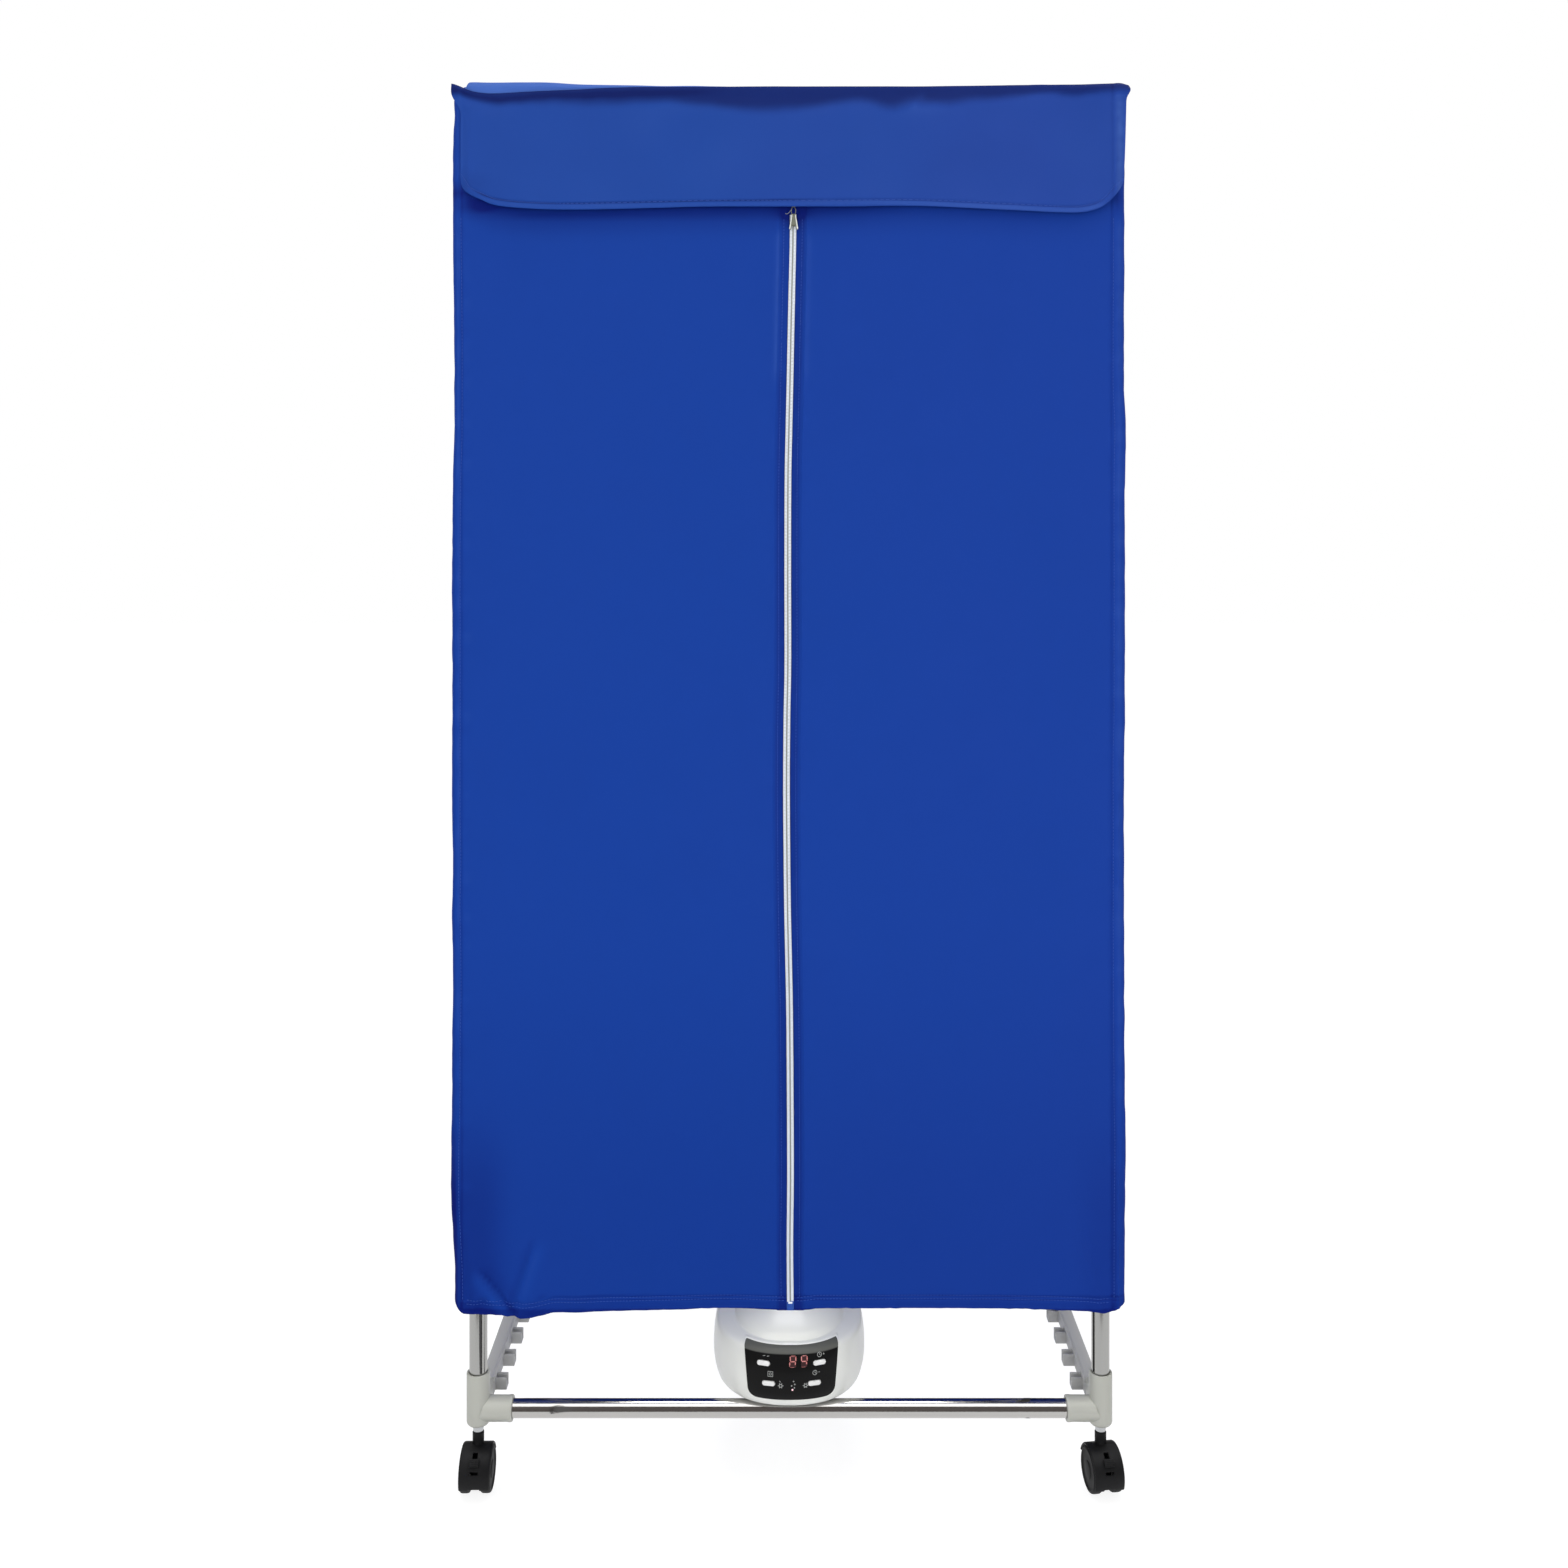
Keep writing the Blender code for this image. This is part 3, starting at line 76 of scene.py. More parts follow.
# Upright fins beside the heater: name, place across, where they start and end in depth, and tone
FINS = (("fin_left", -0.256, -0.42, -0.285, 0.16), ("fin_left_line", -0.258, -0.288, -0.262, 0.03),
        ("fin_right", 0.256, -0.216, -0.165, 0.05))
FIN_MIDDLE, FIN_HEIGHT, FIN_BLUE = 0.12, 0.15, 1.05
# The soft box above the set
BOX_PLACE, BOX_WIDTH, BOX_DEPTH, BOX_TONE = (0, -1.25, 2.4), 4.4, 3.7, (2.5, 2.5, 2.5)
# Each lamp: name, place, target, width, height and power
LAMPS = (("overhead", (0, -0.25, 3.3), (0, -0.2, 0), 2.6, 2.2, 20),
         ("front_left", (-2.1, -3.0, 1.6), (0, 0, 0.7), 1.8, 1.8, 21),
         ("front_right", (2.0, -3.0, 0.8), (0, 0, 0.5), 1.8, 1.4, 17.2),
         ("front", (0, -3.4, 1.15), (0, -0.2, 0.45), 2.6, 1.0, 14.3),
         ("inside", (0, -0.05, 1.0), (0, -0.08, 0.1), 0.5, 0.3, 3.1),
         ("front_low", (0, -2.8, 0.45), (0, 0, 0.25), 2.2, 0.5, 8))


def add_camera():
    lens = bpy.data.cameras.new("camera")
    camera = bpy.data.objects.new("camera", lens)
    bpy.context.collection.objects.link(camera)
    camera.location = CAMERA_PLACE
    camera.rotation_euler = (QUARTER, 0, 0)
    lens.lens = FOCAL_LENGTH
    lens.shift_x = SHIFT_X
    lens.shift_y = SHIFT_Y
    lens.clip_start = NEAR_LIMIT
    bpy.context.scene.camera = camera


def add_lamp(name, place, target, width, height, power):
    """A flat lamp that points at a target."""
    data = bpy.data.lights.new(name, "AREA")
    data.shape = "RECTANGLE"
    data.size = width
    data.size_y = height
    data.energy = power
    lamp = bpy.data.objects.new(name, data)
    lamp.location = place
    lamp.rotation_euler = (Vector(target) - lamp.location).to_track_quat("-Z", "Y").to_euler()
    bpy.context.collection.objects.link(lamp)


class Value:
    """A number that varies over a surface. Sums and products of it become Math nodes."""

    def __init__(self, nodes, socket):
        self.nodes = nodes
        self.socket = socket

    def math(self, operation, *values, clamp=False):
        settings = {"operation": operation, "use_clamp": clamp}
        node = self.nodes.node("ShaderNodeMath", settings, dict(enumerate(values)))
        return Value(self.nodes, node.outputs[0])

    def __add__(self, other):
        return self.math("ADD", self, other)

    def __radd__(self, other):
        return self.math("ADD", other, self)

    def __sub__(self, other):
        return self.math("SUBTRACT", self, other)

    def __rsub__(self, other):
        return self.math("SUBTRACT", other, self)

    def __mul__(self, other):
        return self.math("MULTIPLY", self, other)

    def size(self):
        return self.math("ABSOLUTE", self)

    def wave(self):
        return self.math("SINE", self)

    def held(self):
        """Kept between 0 and 1."""
        return self.math("ADD", self, 0.0, clamp=True)


class Nodes:
    """A node tree that grows one node at a time."""

    def __init__(self, tree):
        self.tree = tree

    def node(self, kind, settings=None, sockets=None):
        made = self.tree.nodes.new(kind)
        for name, value in (settings or {}).items():
            setattr(made, name, value)
        for socket, value in (sockets or {}).items():
            self.feed(made.inputs[socket], value)
        return made

    def feed(self, socket, value):
        if isinstance(value, Value):
            value = value.socket
        if isinstance(value, bpy.types.NodeSocket):
            self.tree.links.new(value, socket)
        else:
            socket.default_value = value

    def looked_at(self):
        """1 where the camera, a reflection or clear material looks, and 0 where light only falls."""
        rays = self.node("ShaderNodeLightPath").outputs
        return (Value(self, rays["Is Camera Ray"]) + Value(self, rays["Is Glossy Ray"])
                + Value(self, rays["Is Transmission Ray"])).held()


class Finish(Nodes):
    """A material, and what its colour, shine and relief vary with."""

    def __init__(self, name, colour=(0.8, 0.8, 0.8), **sockets):
        self.material = bpy.data.materials.new(name)
        self.material.use_nodes = True
        super().__init__(self.material.node_tree)
        self.shader = self.tree.nodes["Principled BSDF"]
        self.shader.inputs["Base Color"].default_value = (*colour, 1)
        for socket, value in sockets.items():
            self.shader.inputs[socket.replace("_", " ")].default_value = value

    def coordinates(self):
        return self.node("ShaderNodeTexCoord").outputs["Object"]

    def axes(self):
        """The three object coordinates, as values."""
        split = self.node("ShaderNodeSeparateXYZ", None, {0: self.coordinates()})
        return [Value(self, output) for output in split.outputs]

    def noise(self, scale, detail=2.0, rough=0.5, stretch=(1, 1, 1)):
        """Soft noise, finer along an axis where its stretch is larger."""
        place = self.node("ShaderNodeMapping", None, {"Vector": self.coordinates(), "Scale": stretch})
        sockets = {"Vector": place.outputs[0], "Scale": scale, "Detail": detail, "Roughness": rough}
        return Value(self, self.node("ShaderNodeTexNoise", None, sockets).outputs["Fac"])

    def blend(self, share, first, second):
        """Mix two colours."""
        node = self.node("ShaderNodeMix", {"data_type": "RGBA"})
        for index, value in ((0, share), (6, first), (7, second)):
            self.feed(node.inputs[index], (*value, 1) if isinstance(value, tuple) else value)
        return node.outputs[2]

    def colour(self, socket):
        self.feed(self.shader.inputs["Base Color"], socket)

    def glow(self, socket):
        self.feed(self.shader.inputs["Emission Color"], socket)

    def rough(self, value):
        self.feed(self.shader.inputs["Roughness"], value)

    def bump(self, height, distance, strength=1.0):
        sockets = {"Height": height, "Distance": distance, "Strength": strength}
        self.feed(self.shader.inputs["Normal"], self.node("ShaderNodeBump", None, sockets).outputs[0])

    def surface(self, socket):
        self.feed(self.tree.nodes["Material Output"].inputs["Surface"], socket)


def add_sky():
    """A white sky, full where it is looked at and dimmer where it lights things."""
    world = bpy.data.worlds.new("studio")
    bpy.context.scene.world = world
    world.use_nodes = True
    sky = Nodes(world.node_tree)
    level = sky.node("ShaderNodeMapRange", None, {"Value": sky.looked_at(), "To Min": AMBIENT, "To Max": 1.0})
    back = sky.tree.nodes["Background"]
    sky.feed(back.inputs["Strength"], level.outputs[0])
    sky.feed(back.inputs["Color"], (1, 1, 1, 1))


def flat(size, matrix=Matrix.Identity(4)):
    """A square that reaches as far as its size each way, and is then placed."""
    shape = bmesh.new()
    bmesh.ops.create_grid(shape, x_segments=1, y_segments=1, size=size, matrix=matrix)
    return shape


def add_floor():
    """Paper that looks evenly white and still takes shadows."""
    paper = Finish("stage_paper", Roughness=0.9, Specular_IOR_Level=0.0)
    seen = paper.looked_at()
    paper.colour(paper.blend(seen, (PAPER_LIT,) * 3, (PAPER_DIFFUSE,) * 3))
    glow = paper.node("ShaderNodeEmission", None,
                      {"Color": (1, 1, 1, 1), "Strength": seen * (1.0 - PAPER_DIFFUSE * 0.5)})
    both = paper.node("ShaderNodeAddShader", None, {0: paper.shader.outputs[0], 1: glow.outputs[0]})
    paper.surface(both.outputs[0])
    add_stage_piece("floor", flat(FLOOR_REACH), paper)


def add_cards():
    """Low flags round the set, fins beside the heater and a soft box above, for reflections only."""
    ring = bmesh.new()
    bmesh.ops.create_cone(ring, cap_ends=False, segments=4, radius1=math.sqrt(2), radius2=math.sqrt(2), depth=1,
                          matrix=Matrix.Translation((0, 0, FLAG_HEIGHT / 2))
                          @ Matrix.Diagonal((FLAG_WIDTH, FLAG_DEPTH, FLAG_HEIGHT, 1))
                          @ Matrix.Rotation(QUARTER / 2, 4, "Z"))
    add_card("low_flags", ring, FLAG_TONE)
    for name, x, near, far, tone in FINS:
        place = (Matrix.Translation((x, (near + far) / 2, FIN_MIDDLE))
                 @ Matrix.Diagonal((1, far - near, FIN_HEIGHT, 1)))
        add_card(name, flat(0.5, place @ Matrix.Rotation(QUARTER, 4, "Y")), (tone, tone, tone * FIN_BLUE))
    add_card("soft_box", flat(0.5, Matrix.Translation(BOX_PLACE) @ Matrix.Diagonal((BOX_WIDTH, BOX_DEPTH, 1, 1))),
             BOX_TONE)


def add_card(name, shape, tone):
    """A card of one tone that only reflections show."""
    card = Finish("stage_" + name)
    glow = card.node("ShaderNodeEmission", None, {"Color": (*tone, 1), "Strength": 1.0})
    card.surface(glow.outputs[0])
    item = add_stage_piece(name, shape, card)
    item.visible_camera = False
    item.visible_diffuse = False
    item.visible_shadow = False
    item.visible_transmission = False


def add_stage_piece(name, shape, finish):
    mesh = bpy.data.meshes.new(name)
    shape.to_mesh(mesh)
    shape.free()
    mesh.materials.append(finish.material)
    item = bpy.data.objects.new(name, mesh)
    bpy.context.collection.objects.link(item)
    return item


bpy.context.scene.view_settings.view_transform = "Standard"
add_camera()
add_sky()
add_floor()
add_cards()
for lamp in LAMPS:
    add_lamp(*lamp)


# Finishes

# How fine the streaks of drawn steel are across the tube and along it
DRAWN_ACROSS, DRAWN_ALONG = 320, 3


def steel_finish(name, axis, colour=(0.49, 0.48, 0.465)):
    """Polished stainless tube: fine drawing lines along the tube."""
    steel = Finish(name, colour, Metallic=1.0)
    stretch = [DRAWN_ACROSS] * 3
    stretch["XYZ".index(axis)] = DRAWN_ALONG
    streaks = steel.noise(1.0, 3.0, 0.6, tuple(stretch))
    cloud = steel.noise(9.0, 2.0)
    steel.colour(steel.blend(streaks * 0.35 + cloud * 0.3, tuple(0.88 * tone for tone in colour),
                             tuple(min(1.0, 1.16 * tone) for tone in colour)))
    steel.rough(0.09 + streaks * 0.09)
    steel.bump(streaks, 0.02 * MM, 0.4)
    return steel


def moulded_finish(name, colour, shine=0.42, grain=900.0, depth=0.02, patch=0.05, **sockets):
    """Moulded plastic: a faint grain, and a slight drift of tone and shine."""
    plastic = Finish(name, colour, **sockets)
    fine = plastic.noise(grain, 2.0)
    broad = plastic.noise(14.0, 3.0)
    low = tuple(tone * (1 - patch) for tone in colour)
    high = tuple(min(1.0, tone * (1 + patch)) for tone in colour)
    plastic.colour(plastic.blend(broad, low, high))
    plastic.rough(shine - 0.04 + broad * 0.08 + fine * 0.03)
    plastic.bump(fine, depth * MM, 0.5)
    return plastic


CONNECTOR = moulded_finish("connector_off_white", (0.440, 0.445, 0.400), 0.40, Coat_Weight=0.10,
                           Coat_Roughness=0.25)
RAIL = moulded_finish("rail_grey", (0.440, 0.440, 0.432), 0.46)
BLACK = moulded_finish("caster_black", (0.0065, 0.0065, 0.0072), 0.48, 700.0, 0.05, 0.12, Specular_IOR_Level=0.15)
TYRE = moulded_finish("tyre_black", (0.0110, 0.0110, 0.0118), 0.62, 1400.0, 0.05, 0.15, Specular_IOR_Level=0.18)
ZINC = moulded_finish("bright_zinc", (0.47, 0.48, 0.49), 0.20, 500.0, 0.01, 0.06, Metallic=1.0)
WHITE = moulded_finish("heater_white", (0.800, 0.810, 0.770), 0.34, 1200.0, 0.01, 0.012,
                       Coat_Weight=0.25, Coat_Roughness=0.18)
STEEL_X = steel_finish("steel_across", "X")
STEEL_Y = steel_finish("steel_back", "Y")
# Painted shade: the uprights get a darker copy of the same steel
SHADED_STEEL_Z = steel_finish("steel_upright_shaded", "Z", (0.385, 0.385, 0.372))
METAL = moulded_finish("raw_aluminium", (0.55, 0.55, 0.56), 0.35, 300.0, 0.02, 0.1, Metallic=1.0)


# Shapes

# Stands a prism on its side: its outline in the YZ plane and its length along X
SIDEWAYS = Matrix(((0, 0, 1, 0), (1, 0, 0, 0), (0, 1, 0, 0), (0, 0, 0, 1)))
WELD = 0.002 * MM


def in_mm(points):
    """Points that are written in millimetres."""
    return [tuple(number * MM for number in point) for point in points]


def block(low, high):
    shape = bmesh.new()
    middle, size = (Vector(low) + Vector(high)) / 2, Vector(high) - Vector(low)
    bmesh.ops.create_cube(shape, size=1.0, matrix=Matrix.Translation(middle) @ Matrix.Diagonal((*size, 1)))
    return shape


def cushion(low, high, width, segments=2):
    """A block with rounded edges, in millimetres."""
    return soften(block(*in_mm((low, high))), width * MM, segments)


def along(start, end):
    """The matrix that lays +Z from start towards end."""
    direction = Vector(end) - Vector(start)
    return Matrix.Translation(Vector(start)) @ direction.to_track_quat("Z", "Y").to_matrix().to_4x4()


def placed(shape, matrix):
    """Turn the faces outwards and put the shape in its place."""
    bmesh.ops.recalc_face_normals(shape, faces=shape.faces)
    if matrix is not None:
        bmesh.ops.transform(shape, matrix=matrix, verts=shape.verts)
    return shape


def turned(profile, steps=48, matrix=None, closed=False):
    """A profile of (radius, height) points turned about Z."""
    shape = bmesh.new()
    points = [shape.verts.new((radius, 0, height)) for radius, height in profile]
    pairs = list(zip(points, points[1:])) + ([(points[-1], points[0])] if closed else [])
    edges = [shape.edges.new(pair) for pair in pairs]
    bmesh.ops.spin(shape, geom=points + edges, cent=(0, 0, 0), axis=(0, 0, 1), angle=math.tau,
                   steps=steps, use_merge=True, use_duplicate=False)
    bmesh.ops.remove_doubles(shape, verts=shape.verts, dist=WELD)
    return placed(shape, matrix)


def prism(outline, low, high, matrix=None):
    """An outline in the XY plane, extruded along Z."""
    shape = bmesh.new()
    face = shape.faces.new([shape.verts.new((x, y, low)) for x, y in outline])
    grown = bmesh.ops.extrude_face_region(shape, geom=[face])["geom"]
    risen = [item for item in grown if isinstance(item, bmesh.types.BMVert)]
    bmesh.ops.translate(shape, vec=(0, 0, high - low), verts=risen)
    return placed(shape, matrix)


def pin(radius, reach, steps, place):
    """A plain pin along the X axis of its place, in millimetres."""
    profile = in_mm([(0, -reach), (radius, -reach), (radius, reach), (0, reach)])
    return turned(profile, steps, place @ Matrix.Rotation(QUARTER, 4, "Y"))


def soften(shape, width, segments=2, least=30):
    """Round every edge that turns by more than an angle."""
    edges = [edge for edge in shape.edges
             if len(edge.link_faces) == 2 and edge.calc_face_angle() > math.radians(least)]
    bmesh.ops.bevel(shape, geom=edges, offset=width, offset_type="OFFSET", affect="EDGES",
                    segments=segments, profile=0.5, material=-1, clamp_overlap=True)
    return shape


def together(*shapes):
    """Several shapes as one, each of them used up."""
    whole = bmesh.new()
    for shape in shapes:
        holder = bpy.data.meshes.new("holder")
        shape.to_mesh(holder)
        shape.free()
        whole.from_mesh(holder)
        bpy.data.meshes.remove(holder)
    return whole


def moved(shape, matrix):
    """Move or mirror a shape, keeping its faces outwards."""
    bmesh.ops.transform(shape, matrix=matrix, verts=shape.verts)
    if matrix.determinant() < 0:
        bmesh.ops.reverse_faces(shape, faces=shape.faces)
    return shape


def piece(name, shape, finish, body, node=None, angle=35):
    """Show a shape as a piece that rides on its body, if it has one, and may stand for a CAD node."""
    mesh = bpy.data.meshes.new(name)
    shape.to_mesh(mesh)
    shape.free()
    mesh.shade_smooth()
    mesh.set_sharp_from_angle(angle=math.radians(angle))
    mesh.materials.append(finish.material)
    item = bpy.data.objects.new(name, mesh)
    bpy.context.collection.objects.link(item)
    if body:
        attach(item, body)
    if node:
        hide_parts(node)
    return item


# Tubes, rods, connectors and rails

TUBE_WALL, TUBE_LIP = 1.0 * MM, 0.6 * MM
# In millimetres: the arm's axis above the connector's foot, and half the rails' width and height
ARM_HEIGHT, RAIL_HALF, RAIL_HEIGHT = 16, 6.5, 22
RAIL_LINE = HALF_X - 4 * MM
CUPS, CUP_PITCH = 8, 48 * MM
# The height of each rail's floor
RAIL_FLOORS = {"bottom": FRAME_BOTTOM + 12.5 * MM, "top": FRAME_TOP - 34.5 * MM}


def add_tube(node, wall):
    """A round tube or rod in the place of its CAD node, with a rolled edge."""
    low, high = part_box(node)
    size = high - low
    axis = max(range(3), key=lambda index: size[index])
    radius = min(size) / 2
    length = size[axis]
    middle = (low + high) / 2
    start, end = middle.copy(), middle.copy()
    start[axis], end[axis] = low[axis], high[axis]
    lip = min(TUBE_LIP, radius / 4)
    outer = [(radius - lip, 0), (radius, lip), (radius, length - lip), (radius - lip, length)]
    if wall:
        inner = radius - wall
        shape = turned([(inner, length), (inner, 0)] + outer, 48, along(start, end), closed=True)
    else:
        shape = turned([(0, 0)] + outer + [(0, length)], 32, along(start, end))
    piece(node + "_polished", shape, (STEEL_X, STEEL_Y, SHADED_STEEL_Z)[axis], "frame", node)


def connector_shape():
    """The connector of the front left bottom corner, about the foot of its post."""
    socket = [(0, 0), (8.3, 0), (9.6, 0.3), (10.9, 1.1), (11.8, 2.3), (12.3, 4), (12.3, 51), (12.25, 54.2),
              (12.0, 55.1), (11.5, 55.5), (10.3, 55.5), (9.9, 55.3), (9.75, 54.8), (9.75, 14), (0, 14)]
    arm = [(0, -12.8), (12.8, -12.8), (12.8, 31.8), (13.1, 33.4), (13.15, 35.8), (12.9, 36.6), (12.3, 37),
           (10.3, 37), (9.9, 36.8), (9.75, 36.3), (9.75, 13.4), (0, 13.4)]
    upright = turned(in_mm(socket), 56)
    across = turned(in_mm(arm), 56, along((0, 0, ARM_HEIGHT * MM), (1, 0, ARM_HEIGHT * MM)))
    # The arm ends in a slanting cut behind the post
    left = bmesh.ops.bisect_plane(across, geom=across.verts[:] + across.edges[:] + across.faces[:],
                                  plane_co=Vector((-1.0, 0, 3.2)) * MM, plane_no=(-25.6, 0, 10.0),
                                  clear_outer=True)
    rim = [item for item in left["geom_cut"] if isinstance(item, bmesh.types.BMEdge)]
    bmesh.ops.holes_fill(across, edges=rim)
    return together(upright, across, cushion((-2.5, 2, 12.5), (10.5, 27, 34.5), 1.4, 3))


def add_connectors():
    for corner, (side_x, side_y) in CORNERS.items():
        for level, height, up in (("bottom", FRAME_BOTTOM, 1), ("top", FRAME_TOP, -1)):
            place = (Matrix.Translation((side_x * HALF_X, side_y * HALF_Y, height))
                     @ Matrix.Diagonal((-side_x, -side_y, up, 1)))
            node = f"{level}_connector_{corner}"
            piece(node + "_moulded", moved(connector_shape(), place), CONNECTOR, "frame",
                  node, 30)


def cup_shape():
    """One cup of a left rail: a block with a slot for a rod, its floor at height 0."""
    outline = [(-6.4, 0), (6.4, 0), (6.4, 13), (3.8, 13), (3.8, 4.6), (2.4, 3.2), (-2.4, 3.2), (-3.8, 4.6),
               (-3.8, 13), (-6.4, 13)]
    return soften(prism(in_mm(outline), 5.5 * MM, 18.5 * MM, SIDEWAYS), 0.55 * MM)


def add_rails():
    half = HALF_Y / MM - 27.3
    for side_x, side in ((-1, "left"), (1, "right")):
        for level, floor in RAIL_FLOORS.items():
            bar = cushion((-RAIL_HALF, -half, 0), (RAIL_HALF, half, RAIL_HEIGHT), 1.3, 3)
            ledge = cushion((4, 1 - half, 14.5), (7.6, half - 1, 20.5), 0.7)
            tongue = block(*in_mm(((-4, -half - 10.7, 3), (4, half + 10.7, 19))))
            cups = [moved(cup_shape(), Matrix.Translation((0, (index - (CUPS - 1) / 2) * CUP_PITCH, 0)))
                    for index in range(CUPS)]
            place = Matrix.Translation((side_x * RAIL_LINE, 0, floor)) @ Matrix.Diagonal((-side_x, 1, 1, 1))
            node = f"{level}_comb_rail_{side}"
            piece(node + "_moulded", moved(together(bar, ledge, tongue, *cups), place), RAIL, "frame",
                  node, 30)
        node = f"middle_side_rail_{side}"
        low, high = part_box(node)
        x, middle = side_x * RAIL_LINE / MM, (low.z + high.z) / 2 / MM
        reach = HALF_Y / MM - 11
        bar = cushion((x - RAIL_HALF, -reach, middle - RAIL_HEIGHT / 2),
                      (x + RAIL_HALF, reach, middle + RAIL_HEIGHT / 2), 1.3, 3)
        sleeves = [soften(turned(in_mm([(9.8, 0), (12.3, 0), (12.3, 60), (9.8, 60)]), 48,
                                 Matrix.Translation((side_x * HALF_X, y, low.z)), closed=True), 0.6 * MM, 2, 60)
                   for y in (-HALF_Y, HALF_Y)]
        piece(node + "_moulded", together(bar, *sleeves), RAIL, "frame", node, 30)


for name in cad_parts:
    if name.startswith(("lower_post", "upper_post", "bottom_tube", "top_tube")):
        add_tube(name, TUBE_WALL)
    elif name.startswith(("hanging_rod", "heater_support_rod")):
        add_tube(name, 0)
add_connectors()
add_rails()


# Casters

# How far each caster is turned about its stem, in degrees
SWIVELS = {"front_left": 1, "front_right": 8, "rear_right": 181, "rear_left": 188}
AXLE = Vector((0, -5 * MM, 22.3 * MM))
AT_AXLE = Matrix.Translation(AXLE)
# The hood: its radius, its first angle and its turn, and its section as places across and drops
HOOD_RADIUS, HOOD_START, HOOD_TURN = 25.5, -22, -182
HOOD_SECTION = ((-16.05, 0.9), (-14.6, 0), (-5.9, 0), (-4.4, 0), (-2.6, 0), (2.6, 0), (4.4, 0), (5.9, 0), (14.6, 0),
                (16.05, 0.9))
# Openings in the hood: half width, first and last angle, and whether only a braked hood has them
HOOD_OPENINGS = ((2.6, 45, 67, True), (4.4, 16, 25, True), (5.9, -180, -17, False))
LEVER_LEAN = math.radians(44)


def swivel(corner):
    """The matrix from a caster's own frame, with its stem on the Z axis, to the model."""
    side_x, side_y = CORNERS[corner]
    return (Matrix.Translation((side_x * HALF_X, side_y * HALF_Y, 0))
            @ Matrix.Rotation(math.radians(SWIVELS[corner]), 4, "Z"))


def at_axle(radius, angle):
    """A point round the axle in the caster's side view: 0 is to the front, 90 is up."""
    turn = math.radians(angle)
    return AXLE + Vector((0, -radius * math.cos(turn), radius * math.sin(turn)))


def hood_shape(brake):
    """The hood: a bent shell over both wheels, open between them where the lever sits."""
    shape = bmesh.new()
    points = [shape.verts.new(at_axle((HOOD_RADIUS - drop) * MM, HOOD_START) + Vector((x * MM, 0, 0)))
              for x, drop in HOOD_SECTION]
    edges = [shape.edges.new(pair) for pair in zip(points, points[1:])]
    bmesh.ops.spin(shape, geom=points + edges, cent=AXLE, axis=(1, 0, 0), angle=math.radians(HOOD_TURN),
                   steps=52, use_merge=False, use_duplicate=False)
    bmesh.ops.remove_doubles(shape, verts=shape.verts, dist=WELD)
    gone = []
    for face in shape.faces:
        centre = face.calc_center_median() - AXLE
        angle = math.degrees(math.atan2(centre.z, -centre.y))
        if any(abs(centre.x) < half * MM and first < angle < last and (brake or not braked)
               for half, first, last, braked in HOOD_OPENINGS):
            gone.append(face)
    bmesh.ops.delete(shape, geom=gone, context="FACES")
    bmesh.ops.recalc_face_normals(shape, faces=shape.faces)
    sample = shape.faces[0]
    if sample.normal.dot(sample.calc_center_median() - AXLE) < 0:
        bmesh.ops.reverse_faces(shape, faces=shape.faces)
    bmesh.ops.solidify(shape, geom=shape.faces[:], thickness=2 * MM)
    return soften(shape, 0.45 * MM, 2, 50)


def web_shape():
    """The web between the wheels that carries the axle, and the neck round the stem."""
    outline = [at_axle((24 if angle > 84 else 15) * MM, angle) for angle in range(-20, 161, 6)]
    outline += [AXLE + Vector((0, y, -6)) * MM for y in (6, -6)]
    web = prism([(point.y, point.z) for point in outline], -4.6 * MM, 4.6 * MM, SIDEWAYS)
    neck = [(0, 39), (7.6, 39), (7.4, 44.5), (6.3, 47.2), (5.9, 49.4), (6.1, 51.4), (6.1, 59.2),
            (5.5, 59.9), (3.8, 59.9), (3.8, 56), (0, 56)]
    return together(soften(web, 0.5 * MM), turned(in_mm(neck), 48))


def wheel_shape(side):
    """One wheel, with its tread, its dished face and its hub cap."""
    profile = [(2.2, 6.1), (5.5, 6.1), (6.2, 6.7), (18.8, 6.7), (19.6, 6.0), (20.6, 6.0), (21.6, 6.5),
               (22.15, 7.6), (22.3, 9.2), (22.3, 13.2), (22.0, 14.8), (21.2, 15.9), (20.0, 16.4),
               (18.9, 16.2), (18.2, 15.3), (17.2, 14.9), (12.0, 15.2), (9.0, 15.5), (8.4, 16.2),
               (7.4, 16.5), (2.6, 16.8), (0, 16.8), (0, 6.1)]
    return turned(in_mm(profile), 64, AT_AXLE @ Matrix.Rotation(side * QUARTER, 4, "Y"))


def lever_shape():
    """The brake lever: an arm between the wheels and a ribbed lip above the hood."""
    arm = cushion((-2.3, -1.2, 12.6), (2.3, 1.2, 26.9), 0.4)
    lip = cushion((-5.3, -5.4, 26.8), (5.3, 2.4, 29.1), 0.8, 3)
    ribs = [cushion((-4.3, y - 0.35, 28.9), (4.3, y + 0.35, 29.5), 0.2, 1) for y in (-4.0, -2.4, -0.8, 0.8)]
    pivot = pin(1.2, 5.4, 20, Matrix.Translation((0, 0, 16.5 * MM)))
    # Local Z runs outwards from the axle along the arm, and local Y up
    out = Vector((0, -math.cos(LEVER_LEAN), math.sin(LEVER_LEAN)))
    up = Vector((0, math.sin(LEVER_LEAN), math.cos(LEVER_LEAN)))
    stand = Matrix(((-1, up.x, out.x, AXLE.x), (0, up.y, out.y, AXLE.y), (0, up.z, out.z, AXLE.z), (0, 0, 0, 1)))
    return moved(together(arm, lip, *ribs, pivot), stand)


